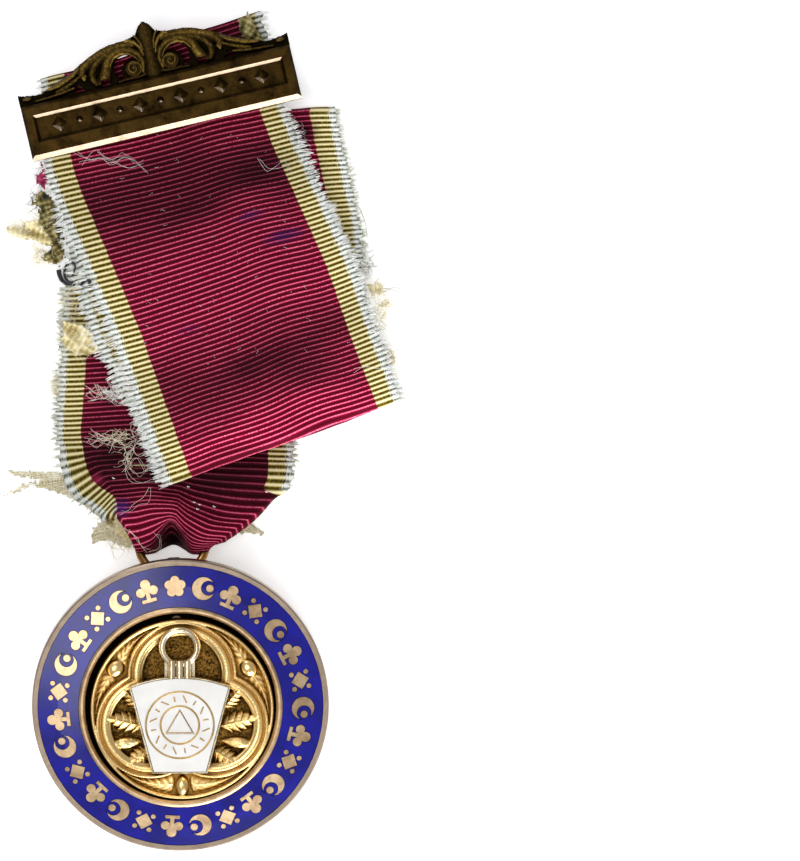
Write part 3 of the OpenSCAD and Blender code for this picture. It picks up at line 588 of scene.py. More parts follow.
def rib_level(put, along, warp):
    """How light a point of the cloth is painted: a painted highlight on the tops of the ribs and painted
    shade between them, flecked by the warp.
    """
    turn = put("Math", {0: along, 1: math.pi / RIB}, operation="MULTIPLY")
    wave = put("Math", {0: put("Math", {0: turn}, operation="SINE")}, operation="ABSOLUTE")
    top = put("Math", {0: wave, 1: 3.6}, operation="POWER")
    fleck = put("Math", {0: warp, 1: 0.7, 2: -0.35}, operation="MULTIPLY_ADD")
    return put("Math", {0: top, 1: fleck}, operation="ADD", use_clamp=True)


def light_and_dirt_bands(put, cloth, along, stripe, colour):
    """Lighter and darker bands, painted light and shade of the ribbon's waves and folds and partly dirt;
    less on the gold stripes.
    """
    drift = cloth_noise(put, cloth, DRIFT, 2)
    drifted = put("Math", {0: drift, 1: DRIFT_BY, 2: along}, operation="MULTIPLY_ADD")
    span = {"From Min": DRIFT_BY / 2, "From Max": DRIFT_BY / 2 + BANDED}
    share = put("MapRange", {"Value": drifted, **span})
    band = put("ValToRGB", {0: share}, stops=[(at / BANDED, light) for at, light in LIGHT_AND_DIRT_BANDS])
    less = put("Math", {0: stripe, 1: 0.75}, operation="MULTIPLY")
    band = put("Mix", {0: less, FIRST: band, SECOND: (1, 1, 1, 1)}, data_type="RGBA")
    return put("Mix", {0: 1, FIRST: colour, SECOND: band}, data_type="RGBA", blend_type="MULTIPLY")


def add_stains_and_painted_light(put, colour):
    """Blots with a ragged rim: full within 0.65 of their radius and gone at 1.9 of it, less the rim."""
    body = put("TexCoord").outputs["Object"]
    rim = body_noise(put, BLOT_RIM_GRAIN, 4, 0.7)
    # Each blot is a stain, a painted shadow or a painted highlight; the note above the table says which.
    for x, y, radius, stretch, strength, blot_colour in STAINS_AND_PAINTED_LIGHT:
        spot = {"Location": (x * MM, y * MM, 0), "Rotation": (0, 0, RIB_TURN), "Scale": (stretch, 1, 99)}
        drawn_out = put("Mapping", {"Vector": body, **spot}, vector_type="TEXTURE")
        out = put("VectorMath", {0: drawn_out}, operation="LENGTH")
        out = put("Math", {0: rim, 1: radius * MM, 2: out}, operation="MULTIPLY_ADD")
        span = {"From Min": 1.9 * radius * MM, "From Max": 0.65 * radius * MM}
        mask = put("MapRange", {"Value": out, **span, "To Max": strength})
        colour = put("Mix", {0: mask, FIRST: colour, SECOND: hex_colour(blot_colour)}, data_type="RGBA")
    return colour


def ribbed_silk():
    material, put = new_material("ribbed_silk")
    cloth = put("UVMap", uv_map="cloth_mm")
    place = put("SeparateXYZ", {0: cloth})
    warp = cloth_noise(put, cloth, WARP, 2)
    level = rib_level(put, place.outputs["Y"], warp)
    crimson = put("ValToRGB", {0: level}, stops=CRIMSON_LIT_RIBS)
    gold = put("ValToRGB", {0: put("Math", {0: level, 1: 0.6}, operation="POWER")}, stops=GOLD_LIT_RIBS)
    undyed = put("ValToRGB", {0: put("Math", {0: level, 1: 0.5}, operation="POWER")}, stops=UNDYED_LIT_RIBS)
    out = put("Math", {0: place.outputs["X"]}, operation="ABSOLUTE")
    wander = cloth_noise(put, cloth, WANDER, 3)
    edge = put("Math", {0: wander, 1: WANDER_BY, 2: out}, operation="MULTIPLY_ADD")
    bare_from = WOVEN / 2 - BARE_WEFT + WANDER_BY / 2
    span = {"From Min": bare_from - GOLD_STRIPE, "From Max": bare_from - GOLD_STRIPE + 1 / 6}
    stripe = put("MapRange", {"Value": edge, **span})
    colour = put("Mix", {0: stripe, FIRST: crimson, SECOND: gold}, data_type="RGBA")
    frayed = put("Math", {0: warp, 1: FRAY_BY, 2: edge}, operation="MULTIPLY_ADD")
    span = {"From Min": bare_from + FRAY_BY / 2, "From Max": bare_from + FRAY_BY / 2 + 1 / 4}
    bare = put("MapRange", {"Value": frayed, **span})
    colour = put("Mix", {0: bare, FIRST: colour, SECOND: undyed}, data_type="RGBA")
    colour = add_stains_and_painted_light(put, light_and_dirt_bands(put, cloth, place.outputs["Y"], stripe, colour))
    bump = put("Bump", {"Strength": 0.35, "Distance": 0.06 * MM, "Height": warp})
    look = {"Base Color": colour, "Roughness": 0.6, "Specular IOR Level": 0.05, "Normal": bump}
    put("OutputMaterial", {"Surface": put("BsdfPrincipled", look)})
    return material


silk_finish = ribbed_silk()
for silk, node in ((front_silk, "front_ribbon"), (rear_silk, "rear_ribbon")):
    silk.data.materials.append(silk_finish)
    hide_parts(node)
    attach(silk, "root")

# %% [markdown]
# ## Threads
# Fringe, loose ends and tangles are all thread: a thin tube along a line of points. Sweeping a ring of
# three or five sides along the points in mesh code keeps nearly every strand to a few dozen faces,
# which matters with thousands of them. Every strand's random draw comes from a seeded generator.


# %% Strand builder
class Strands:
    """Collects many thread tubes and makes one closed-ended mesh of them."""

    def __init__(self):
        self.points, self.faces = [], []

    def add(self, line, radius, tip, sides):
        first = len(self.points)
        last = len(line) - 1
        side = Vector((0.3, 0.5, 0.8))
        for i, p in enumerate(line):
            ahead = (line[min(i + 1, last)] - line[max(i - 1, 0)]).normalized()
            out = (side - ahead * side.dot(ahead)).normalized()
            side = out
            wide = ahead.cross(out)
            r = radius * (1 - (1 - tip) * i / last)
            for k in range(sides):
                a = 2 * math.pi * k / sides
                self.points.append((p + (out * math.cos(a) + wide * math.sin(a)) * r) * MM)
        for i in range(last):
            for k in range(sides):
                a, b = first + i * sides + k, first + i * sides + (k + 1) % sides
                self.faces.append((a, b, b + sides, a + sides))
        self.faces.append(tuple(first + k for k in reversed(range(sides))))
        self.faces.append(tuple(first + last * sides + k for k in range(sides)))

    def make(self, name, material, slot):
        mesh = bpy.data.meshes.new(name)
        mesh.from_pydata(self.points, [], self.faces)
        mesh.shade_smooth()
        mesh.materials.append(material)
        piece = bpy.data.objects.new(name, mesh)
        bpy.context.collection.objects.link(piece)
        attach(piece, "root")
        print(name, len(self.faces), "faces")
        return piece


# %% Thread finishes
# Length of a lighter or darker stretch of thread, in millimetres
THREAD_FLECK = 1.111


def thread_finish(name, dark, light, glow=0.0):
    """Spun thread: soft, matt and uneven. Its glow is painted light: an emission that keeps pale thread
    bright where it lies in shade, in place of the light that pale fibres scatter inside.
    """
    material, put = new_material(name)
    fleck = body_noise(put, THREAD_FLECK, 3, 0.6)
    tone = put("ValToRGB", {0: fleck}, stops=[(0.3, dark), (0.7, light)])
    look = {"Base Color": tone, "Roughness": 0.7, "Sheen Weight": 0.3}
    # Painted light: pale thread glows a little so that it stays bright in shade.
    if glow:
        look.update({"Emission Color": tone, "Emission Strength": glow})
    put("OutputMaterial", {"Surface": put("BsdfPrincipled", look)})
    return material


pale_thread = thread_finish("undyed_weft_ends", "#E6E9E0", "#FFFFFF", 0.08)
# The rear fringe's thread is greyer than the front's.
greyer_thread = thread_finish("greyer_weft_ends", "#BEC2AC", "#F6F6E8")
cream_thread = thread_finish("cream_silk_thread", "#DCCE9C", "#FFF8E4", 0.08)

# %% [markdown]
# ## Frayed edges
# Where the selvedge has worn away, the last millimetre of each rib is bare, undyed weft, and it ends
# in a small pale tuft of fibres. The bare end is part of the silk's finish. A tuft is a few short
# strands that leave the edge together and spread and droop a little.

# %% Fringe
TUFT_STRANDS = 13
TUFT_ROOT = 0.8
# Past the foot: where the fringe is shorter, since the edge turns under, and where it ends
SHORTER_FROM, FRINGE_END = -11, 2
# Along the cloth: where the left fringe begins to grow from its short start, and over how far
GROWS_FROM, GROWS_OVER = 16, 12


def fringe(name, rows, length, short_start, finish, seed):
    rng = random.Random(seed)
    strands = Strands()
    ribs = int(rows[-1][ALONG] / RIB)
    for n in range(ribs):
        i = min(len(rows) - 1, int((n + 0.5) * PER_RIB))
        tuck = tuck_for(rows, i)
        if rows[i][PAST] > FRINGE_END:
            break
        for side in (-1, 1):
            edge = cloth_point(rows, i, side * WOVEN / 2, tuck, 0)
            inner = cloth_point(rows, i, side * (WOVEN / 2 - TUFT_ROOT), tuck, 0)
            out = (edge - inner).normalized()
            _, ahead, up = cloth_frame(rows, i)
            ragged = noise.noise(Vector((n * 0.21, side * 4.0, seed)))
            long = length[side] * (0.75 + 0.5 * ragged + 0.15 * rng.random())
            if side < 0:
                long *= max(short_start, min(1.0, (rows[i][ALONG] - GROWS_FROM) / GROWS_OVER))
            if rows[i][PAST] > SHORTER_FROM:
                long *= 0.62
            lean = 0.45 * noise.noise(Vector((n * 0.4, side * 9.0, seed + 0.5))) + rng.gauss(0, 0.1)
            for _ in range(TUFT_STRANDS):
                spread = rng.uniform(-0.3, 0.3)
                rise = rng.uniform(-0.12, 0.06)
                start = inner.lerp(edge, rng.random())
                start += ahead * rng.uniform(-0.25, 0.25)
                start += up * rng.uniform(0.0, 0.4)
                reach = long * rng.uniform(0.5, 1.1)
                line = []
                for t in (0, 0.4, 0.75, 1):
                    bend = lean * t * t + spread * (t - 0.8 * t * t)
                    line.append(start + (out * t + ahead * bend + up * rise * t * t) * reach)
                strands.add(line, rng.uniform(0.06, 0.1), 0.45, 3)
    return strands.make(name, finish, "ribbon")


front_fringe = fringe("front_fringe", front_fine, {-1: 1.6, 1: 1.35}, 0.55, pale_thread, 11)
rear_fringe = fringe("rear_fringe", rear_fine, {-1: 1.4, 1: 1.35}, 1.0, greyer_thread, 23)

# %% [markdown]

# %% [markdown]
# ## Gilt metal
# The medal is brass, stamped and fire gilt. Gilding is soft: it stays bright on what is rubbed and keeps
# brown tarnish in corners, pits and under edges. Ambient occlusion finds the corners and darkens them, as
# tarnish and also as painted shade. Bevels that face the foot are painted lighter, a painted highlight of
# the foot light broken by patches of wear. A fine grain in the bump breaks up the reflections. Round the
# medal's outer rim the colour turns greyer.

# %% Metal finish
# Middle of the medal as it lies, and from where to where out from it the rim turns greyer
MEDAL_MIDDLE = Vector((1.28, -28.55, 5.44))
RIM_FROM, RIM_FULL = 21.3, 21.425
# Patches of tarnish and the grain of the gilding, in millimetres; the real grain is finer than a pixel
TARNISH, GRAIN = 2.381, 0.625


def gilt(name, bright, worn, dark, roughness, corner_mm, tarnish_and_shade=1.0, worn_and_lit_bevel=None, rim=None):
    """The bevel colour is laid on bevels that face the foot, a painted highlight of the foot light broken
    by patches of wear; rim colours the medal's outer edge greyer.
    """
    material, put = new_material(name)
    # Corners darkened by ambient occlusion: tarnish, and also painted shade.
    corner = put("AmbientOcclusion", {"Distance": corner_mm * MM}, samples=8).outputs["AO"]
    corner = put("Math", {0: corner, 1: 1.6 * tarnish_and_shade}, operation="POWER")
    patch = body_noise(put, TARNISH, 5, 0.62)
    speck = body_noise(put, GRAIN, 2, 0.6)
    mottled = put("ValToRGB", {0: patch}, stops=[(0.32, worn), (0.58, bright)])
    specks = put("ValToRGB", {0: speck}, stops=[(0.34, 0.6), (0.46, 1.0)])
    colour = {0: 0.4, FIRST: mottled, SECOND: specks}
    colour = put("Mix", colour, data_type="RGBA", blend_type="MULTIPLY")
    colour = put("Mix", {0: corner, FIRST: hex_colour(dark), SECOND: colour}, data_type="RGBA")
    if rim:
        body = put("TexCoord").outputs["Object"]
        out = put("VectorMath", {0: body, 1: MEDAL_MIDDLE * MM}, operation="DISTANCE")
        span = {"From Min": RIM_FROM * MM, "From Max": RIM_FULL * MM, "To Max": 0.75}
        bare = put("MapRange", {"Value": out, **span})
        colour = put("Mix", {0: bare, FIRST: colour, SECOND: hex_colour(rim)}, data_type="RGBA")
    if worn_and_lit_bevel:
        # Painted highlight: bevels that face the foot are made lighter, less where patches of wear break
        # it.
        facing = put("SeparateXYZ", {0: put("NewGeometry").outputs["Normal"]}).outputs["Y"]
        span = {"From Min": -0.3, "From Max": -0.3 - 1 / 6}
        facing = put("MapRange", {"Value": facing, **span})
        kept = {"From Min": 0.3, "From Max": 0.5, "To Min": 0.55, "To Max": 1.0}
        kept = put("MapRange", {"Value": patch, **kept})
        facing = put("Math", {0: facing, 1: kept}, operation="MULTIPLY")
        colour = put("Mix", {0: facing, FIRST: colour, SECOND: hex_colour(worn_and_lit_bevel)}, data_type="RGBA")
    # Corners are duller by up to 0.3, and patches duller or smoother by up to 0.125
    rough = {0: corner, 1: -0.3, 2: roughness + 0.3 - 0.125}
    rough = put("Math", rough, operation="MULTIPLY_ADD")
    rough = put("Math", {0: patch, 1: 0.25, 2: rough}, operation="MULTIPLY_ADD")
    bump = put("Bump", {"Strength": 0.25, "Distance": 0.08 * MM, "Height": speck})
    look = {"Base Color": colour, "Metallic": 1.0, "Roughness": rough, "Normal": bump}
    put("OutputMaterial", {"Surface": put("BsdfPrincipled", look)})
    return material


gilt_brass = gilt("fire_gilt_brass", "#DABC94", "#B89674", "#3A2410", 0.34, 1.2, rim="#8C8076")
keystone_gilt = gilt("bright_gilt_keystone", "#F8E6C4", "#E6C896", "#3A2410", 0.2, 1.2)
bar_gilt = gilt("darkened_gilt_bar", "#3A2A10", "#120B04", "#060402", 0.34, 2.2, 1.4, "#A48E78")
wire_gilt = gilt("ring_wire_gilt", "#A87C46", "#6E4E2C", "#1C1208", 0.26, 1.2)

# %% [markdown]
# ## Enamel
# Vitreous enamel is coloured glass fused into the metal: a smooth glossy coat with an IOR near 1.5
# over a deep colour. A slow waviness of the surface keeps its reflections from looking machined.

# %% Enamel finish
# Clouds of lighter glass, and the waves of its surface, in millimetres
GLASS_CLOUD, GLASS_WAVE = 3.846, 3.03


def vitreous(name, deep, light):
    material, put = new_material(name)
    cloud = body_noise(put, GLASS_CLOUD, 3, 0.5)
    colour = put("ValToRGB", {0: cloud}, stops=[(0.35, deep), (0.68, light)])
    wave = body_noise(put, GLASS_WAVE, 2, 0.5)
    bump = put("Bump", {"Strength": 0.05, "Distance": 0.3 * MM, "Height": wave})
    glass = {"Roughness": 0.2, "IOR": 1.52, "Specular IOR Level": 0.46}
    shader = put("BsdfPrincipled", {"Base Color": colour, **glass, "Normal": bump})
    put("OutputMaterial", {"Surface": shader})
    return material


royal_blue = vitreous("royal_blue_enamel", "#07066A", "#0F0D8C")
china_white = vitreous("opaque_white_enamel", "#DEDBD6", "#E9E7E3")

# %% Dress the CAD nodes
FINISHES = {
    "medal_frame": gilt_brass,
    "blue_enamel": royal_blue,
    "centre_disc": gilt_brass,
    "keystone": keystone_gilt,
    "white_enamel": china_white,
    "top_rivet": gilt_brass,
    "left_rivet": gilt_brass,
    "right_rivet": gilt_brass,
    "centre_rivet": gilt_brass,
    "suspension_ring": wire_gilt,
    "brooch_bar": bar_gilt,
}
for node_name, finish in FINISHES.items():
    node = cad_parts[node_name]
    node.data.materials.clear()
    node.data.materials.append(finish)

# %% [markdown]
# ## Struck relief
# The medal's centre and the bar's crest were struck in a die: one skin of metal pushed up into
# mouldings, leaves and scrolls with soft edges. That is a height map, so each is a fine grid whose
# points are raised by a function of their place, then closed with a wall and a back. Sculpting it
# leaf by leaf from solids would leave hard joints that a die never makes. Each point also keeps how
# much it stands proud, and the finish uses that: high spots are rubbed bright, low ones stay brown.


# %% Relief builder
def raised_grid(name, count_u, count_v, shape, raise_point, keep, back, material):
    """shape gives the plan point of a grid place, raise_point its (height, rub), back the back's height."""
    index, points, wear_and_shade_levels, faces = {}, [], [], []

    def corner(i, j):
        if (i, j) not in index:
            x, y = shape(i, j)
            height, wear_and_shade = raise_point(x, y)
            index[i, j] = len(points)
            points.append((x, y, height))
            wear_and_shade_levels.append(wear_and_shade)
        return index[i, j]

    for i in range(count_u):
        for j in range(count_v):
            x, y = shape(i + 0.5, j + 0.5)
            if keep(x, y):
                faces.append((corner(i, j), corner(i + 1, j), corner(i + 1, j + 1), corner(i, j + 1)))
    front = len(points)
    used = {}
    for face in faces:
        for a, b in zip(face, face[1:] + face[:1]):
            used[a, b] = True
    points += [(x, y, back) for x, y, _ in points]
    wear_and_shade_levels += [0.0] * front
    walls = [(b, a, a + front, b + front) for a, b in used if (b, a) not in used]
    backs = [tuple(k + front for k in reversed(face)) for face in faces]
    mesh = bpy.data.meshes.new(name)
    mesh.from_pydata(points, [], faces + walls + backs)
    # The attribute holds how proud a point stands: on struck metal it shows wear, on crumpled cloth it
    # paints light on the ridges and shade in the folds.
    wear_and_shade_layer = mesh.attributes.new("wear_and_shade", "FLOAT", "POINT")
    wear_and_shade_layer.data.foreach_set("value", wear_and_shade_levels)
    mesh.shade_smooth()
    mesh.materials.append(material)
    piece = bpy.data.objects.new(name, mesh)
    bpy.context.collection.objects.link(piece)
    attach(piece, "root")
    print(name, len(faces), "cells")
    return piece


def inside(outline, x, y):
    hit = False
    for (xa, ya), (xb, yb) in zip(outline, outline[1:] + outline[:1]):
        if (ya > y) != (yb > y) and x < (xb - xa) * (y - ya) / (yb - ya) + xa:
            hit = not hit
    return hit


def bump_shape(distance, half_width, height):
    """A rounded ridge: full height on its line, nothing at its half width."""
    share = min(1.0, abs(distance) / half_width)
    return height * math.sqrt(1 - share * share)


# %% [markdown]
# ## The medal's centre
# The centre is a stamped disc: a rim, a trefoil of broad double mouldings, three corners filled with
# a boss between two veined leaves, and in the side lobes sprays of saw-edged leaves with a smooth bud.
# Its floor is matted with a fine punch, so that it holds the dark. All of it is drawn in the disc's
# own plane and then laid at the medal's tilt.

# %% How the medal lies
MEDAL_R, EDGE = 22.15, 0.2
DISC_R, DISC_BACK, DISC_FLOOR = 13.75, 0.95, 1.7
LOBE_R, LOBE_OFF = 8.1, 5.3
LOBE_ANGLES = (90, 206, 334)
BOSS_ANGLES = (32, 148, 270)
MEDAL_TILT, TILT_TURN, FRAME_TURN = 10, 12, 2.5
RING_R, RING_WIRE, SIDE_PLAY = 5.0, 1.3, 0.4


def turned(degrees, axis):
    return Matrix.Rotation(math.radians(degrees), 4, axis)


LEAN = turned(TILT_TURN, "Z") @ turned(MEDAL_TILT, "X") @ turned(-TILT_TURN, "Z")


def medal_matrix():
    """Places the medal so that its loop hangs from the near end of the ring."""
    medal_z = (MEDAL_R - EDGE) * math.sin(math.radians(MEDAL_TILT))
    loop_seat = Vector((0, MEDAL_R - 2.6 - EDGE, -(RING_WIRE / 2 + LAYER_GAP)))
    seat = LEAN @ turned(FRAME_TURN, "Z") @ loop_seat
    ring_far_z = CLOTH + LAYER_GAP + RING_WIRE / 2
    pitch = math.asin((medal_z + seat.z - ring_far_z) / (2 * RING_R))
    reach = 2 * RING_R * math.cos(pitch)
    return Matrix.Translation((SIDE_PLAY - seat.x, -reach - seat.y, medal_z)) @ LEAN


MEDAL = medal_matrix()


def lay(piece, matrix):
    """Moves a piece's mesh from a part's own plane in millimetres to its place in metres."""
    piece.data.transform(Matrix.Scale(MM, 4) @ matrix)
    piece.data.update()


# %% Disc relief
# Leaves of the right-hand spray: foot x, foot y, length, half width in millimetres, angle
LEAVES = [(6.1, 0.1, 4.1, 1.5, 50), (5.5, -2.6, 6.1, 1.7, 13), (4.5, -6.2, 4.9, 1.6, -31)]
BUD = (5.3, -4.75, 5.9, 0.95, -8)
# Where the corners' filling ends, the disc's fine rim with its half width, and the bosses' distance
CORNER_R, RIM_R, RIM_HALF, BOSS_R = 13.05, 13.42, 0.32, 0.852 * DISC_R


def trefoil_distance(x, y):
    return min(
        math.hypot(x - LOBE_OFF * math.cos(math.radians(a)), y - LOBE_OFF * math.sin(math.radians(a)))
        for a in LOBE_ANGLES
    ) - LOBE_R


def leaf_height(x, y, leaf):
    foot_x, foot_y, length, wide, angle = leaf
    a = math.radians(angle)
    s = ((x - foot_x) * math.cos(a) + (y - foot_y) * math.sin(a)) / length
    t = (y - foot_y) * math.cos(a) - (x - foot_x) * math.sin(a)
    if not 0 < s < 1 or abs(t) > wide * 1.15:
        return 0.0
    teeth = (s * 5.5 - abs(t) / wide * 0.8) % 1
    half = wide * math.sin(math.pi * s**0.8) ** 0.8 * (0.74 + 0.3 * teeth)
    if abs(t) > half:
        return 0.0
    body = 0.3 + 0.55 * (1 - (t / half) ** 2)
    vein = 0.16 * (teeth - 0.5)
    rib = 0.2 * math.exp(-((t / 0.13) ** 2))
    return max(0.0, body + vein + rib - 0.2 * (1 - s))


def bud_height(x, y):
    foot_x, foot_y, length, wide, angle = BUD
    a = math.radians(angle)
    s = ((x - foot_x) * math.cos(a) + (y - foot_y) * math.sin(a)) / length
    t = (y - foot_y) * math.cos(a) - (x - foot_x) * math.sin(a)
    if not 0 < s < 1:
        return 0.0
    half = wide * math.sin(math.pi * s**1.2) ** 0.9
    return bump_shape(t, half, 0.95 * half / wide) if abs(t) < half else 0.0


def moulding_height(d):
    """Section of the trefoil's moulding: d is the distance outside its outer line."""
    crest = bump_shape(d + 0.22, 0.3, 0.55) + 0.75 if -0.52 < d < 0.08 else 0
    shelf = 0.72 * soft_step(-d, -0.05, 0.1) * soft_step(d, -2.45, -2.1)
    band = bump_shape(d + 1.35, 0.62, 0.42) + 0.6 if abs(d + 1.35) < 0.62 else 0
    return max(crest, shelf, band)


def corner_height(x, y, d, r):
    """One of the three corners: a boss between two veined leaves."""
    base = 0.36
    wide = d + CORNER_R - r
    across = d / max(0.05, wide)
    best = base
    for number, angle in enumerate(BOSS_ANGLES):
        turn = (math.degrees(math.atan2(y, x)) - angle + 180) % 360 - 180
        if abs(turn) > 42:
            continue
        long_way = abs(turn) - 5
        swell = 0.3 * math.sin(math.pi * max(0.0, min(1.0, across))) * soft_step(long_way, 0, 3)
        veins = 0.035 * math.cos(2 * math.pi * (long_way / 5 - abs(across - 0.5) * 2.4))
        spine = 0.09 * math.exp(-(((across - 0.5) * wide / 0.14) ** 2))
        best = base + swell + (veins + spine) * soft_step(long_way, 0, 2) * soft_step(40 - long_way, 0, 12)
        a = math.radians(angle)
        along = x * math.cos(a) + y * math.sin(a) - BOSS_R
        aside = y * math.cos(a) - x * math.sin(a)
        long_half, short_half = ((1.7, 1.15) if number == 2 else (1.4, 1.5))
        pointed = 1 + 0.35 * abs(aside) if number == 2 else 1 + 0.25 * abs(along)
        inside_boss = ((along / long_half) ** 2 + (aside / short_half) ** 2) * pointed
        if inside_boss < 1:
            best = max(best, base + 0.95 * math.sqrt(1 - inside_boss))
    return best


def disc_point(x, y):
    r = math.hypot(x, y)
    d = trefoil_distance(x, y)
    rim = bump_shape(r - RIM_R, RIM_HALF, 0.45) + 0.75 if abs(r - RIM_R) < RIM_HALF else 0.0
    step = 0.55 * soft_step(r, 12.95, 13.1)
    if r > DISC_R - 0.02:
        return DISC_FLOOR + 0.6, 0.6
    if d > 0.02:
        high = corner_height(x, y, d, r)
    else:
        leaf = max(leaf_height(abs(x), y, leaf) for leaf in LEAVES)
        matting = 0.09 * noise.noise(Vector((x * 6, y * 6, 1.3)))
        high = max(moulding_height(d), leaf, bud_height(abs(x), y)) + matting * (d < -2.3)
    high = max(high, rim, step)
    grain = 0.012 * noise.noise(Vector((x * 5, y * 5, 8.1)))
    return DISC_FLOOR + high + grain, min(1.0, 0.1 + high / 1.25)


DISC_GRID = 250


def disc_place(i, j):
    """Square grid to round disc: each square ring of the grid becomes a circle."""
    u, v = 2 * i / DISC_GRID - 1, 2 * j / DISC_GRID - 1
    r = max(abs(u), abs(v))
    if r == 0:
        return 0.0, 0.0
    turn = math.pi / 4 * (v / u if abs(u) >= abs(v) else 2 - u / v)
    if (u < 0 and abs(u) >= abs(v)) or (abs(v) > abs(u) and v < 0):
        turn += math.pi
    return DISC_R * r * math.cos(turn), DISC_R * r * math.sin(turn)


# %% Tarnish by height
# Spots of tarnish and the marks of the matting punch, in millimetres
SPOT, PUNCH = 0.3846, 0.1923


def struck_gilt(name, bright, worn, dark, roughness, low, high):
    """Gilding on a struck relief: brown in the low places and worn bright on the crests. Ambient occlusion
    darkens it round its raised forms: painted shade, with tarnish in the hollows.
    """
    material, put = new_material(name)
    wear_and_shade = put("Attribute", attribute_name="wear_and_shade").outputs["Fac"]
    # Painted shade: ambient occlusion darkens the relief round its raised forms, with tarnish in the
    # hollows.
    corner = put("AmbientOcclusion", {"Distance": 1.5 * MM}, samples=8).outputs["AO"]
    corner = put("Math", {0: corner, 1: 2.1}, operation="POWER")
    spot = body_noise(put, SPOT, 4, 0.7)
    spot = put("Math", {0: spot, 1: 0.7, 2: -0.35}, operation="MULTIPLY_ADD")
    level = put("Math", {0: wear_and_shade, 1: spot}, operation="ADD")
    level = put("Math", {0: level, 1: corner}, operation="MULTIPLY")
    colour = put("ValToRGB", {0: level}, stops=[(low, dark), ((low + high) / 2, worn), (high, bright)])
    matt = {"From Min": 1, "From Max": 0, "To Min": roughness, "To Max": roughness + 0.3}
    matt = put("MapRange", {"Value": level, **matt})
    punch = body_noise(put, PUNCH, 2, 0.6)
    bump = put("Bump", {"Strength": 0.3, "Distance": 0.06 * MM, "Height": punch})
    look = {"Base Color": colour, "Metallic": 1.0, "Roughness": matt, "Normal": bump}
    put("OutputMaterial", {"Surface": put("BsdfPrincipled", look)})
    return material


struck_disc_gilt = struck_gilt("struck_disc_gilt", "#F9D692", "#BC8C40", "#241606", 0.24, 0.02, 0.52)
tracery = raised_grid(
    "trefoil_tracery",
    DISC_GRID,
    DISC_GRID,
    disc_place,
    disc_point,
    lambda x, y: True,
    DISC_BACK,
    struck_disc_gilt,
)
DISC_PLAY = Matrix.Translation((0.24, -0.42, 0))
lay(tracery, MEDAL @ DISC_PLAY)
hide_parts("centre_disc")

# %% [markdown]
# ## The bar's crest
# The crest is a thin struck plate of scrolls and leaves with pierced openings. Its relief is drawn with
# strokes: a stroke is a line of points with a half width at each, rounded across. The strokes of the
# right half are mirrored to the left, and the highest one wins where they cross.

# %% Crest relief
BAR_HEIGHT, BAR_LENGTH, CREST_H = 8.2, 41.2, 8.4
CREST_TOP, CREST_BACK = 1.75, 0.3
CREST_CELL = 0.1
BAR = Matrix.Translation((BAR_AT.x, BAR_AT.y, BAR_Z)) @ turned(BAR_TURN, "Z")
# Right half of the crest's outline, in shares of the bar's half length and of the crest's height
CREST_SIDE = [
    (1, 0), (1, 0.215), (0.955, 0.18), (0.885, 0.16), (0.83, 0.15), (0.79, 0.2), (0.7, 0.29),
    (0.61, 0.37), (0.515, 0.5), (0.43, 0.6), (0.35, 0.68), (0.27, 0.73), (0.165, 0.735),
    (0.075, 0.79), (0.04, 0.93), (0, 1),
]
# Each stroke: height, then points as (x, y, half width) from the bar's lower edge, in millimetres
STROKES = [
    (0.75, [
        (1.5, 9.3, 0.35), (1.25, 10.8, 0.4), (1.7, 12.0, 0.5), (2.8, 12.8, 0.55), (4.3, 13.05, 0.6),
        (5.6, 12.7, 0.65), (6.55, 11.7, 0.7), (6.95, 10.6, 0.72), (7.4, 9.6, 0.8), (8.0, 9.0, 0.45),
    ]),
    (0.98, [
        (1.75, 10.9, 0.14), (2.3, 11.7, 0.2), (3.1, 12.3, 0.24), (4.3, 12.6, 0.26), (5.4, 12.2, 0.24),
        (6.1, 11.3, 0.2),
    ]),
    (0.7, [
        (1.6, 13.5, 0.35), (3.2, 13.85, 0.45), (5.2, 13.75, 0.5), (7.2, 13.4, 0.6), (9.0, 12.8, 0.65),
        (10.1, 12.0, 0.65), (10.6, 11.1, 0.55), (10.35, 10.3, 0.45),
    ]),
    (0.9, [(10.1, 10.5, 0.3), (10.4, 10.25, 0.42), (10.6, 10.4, 0.25)]),
    (0.65, [
        (5.5, 13.2, 0.3), (7.3, 12.7, 0.45), (8.5, 11.8, 0.5), (9.1, 10.8, 0.5), (9.1, 9.8, 0.5),
        (8.7, 9.0, 0.4),
    ]),
    (0.55, [
        (0, 8.6, 0.95), (0, 10.5, 0.75), (0, 12.5, 0.8), (0, 14.0, 0.95), (0, 15.0, 1.0),
        (0, 15.9, 0.6), (0, 16.6, 0.15),
    ]),
    (0.95, [
        (0.95, 11.8, 0.22), (1.25, 12.9, 0.32), (1.9, 13.8, 0.36), (2.9, 14.3, 0.3), (3.3, 14.2, 0.15),
    ]),
    (0.85, [(0.8, 12.4, 0.18), (1.0, 13.5, 0.24), (1.5, 14.5, 0.24), (2.1, 14.85, 0.12)]),
    (0.85, [
        (10.8, 11.9, 0.2), (11.7, 11.2, 0.32), (12.9, 10.65, 0.34), (14.3, 10.15, 0.34),
        (15.6, 9.85, 0.28), (16.6, 9.8, 0.12),
    ]),
    (0.7, [(11.0, 10.7, 0.25), (12.2, 10.1, 0.32), (13.5, 9.6, 0.32), (14.9, 9.25, 0.22)]),
    (0.7, [(12.2, 9.2, 0.25), (14.0, 8.9, 0.3), (16.0, 8.7, 0.26), (18.3, 8.55, 0.15)]),
    (0.8, [(18.95, 9.1, 0.25), (19.4, 9.15, 0.36), (19.8, 9.2, 0.25)]),
    (0.6, [(1.3, 8.75, 0.25), (2.6, 8.6, 0.3), (4.2, 8.65, 0.25), (5.4, 8.5, 0.2)]),
]
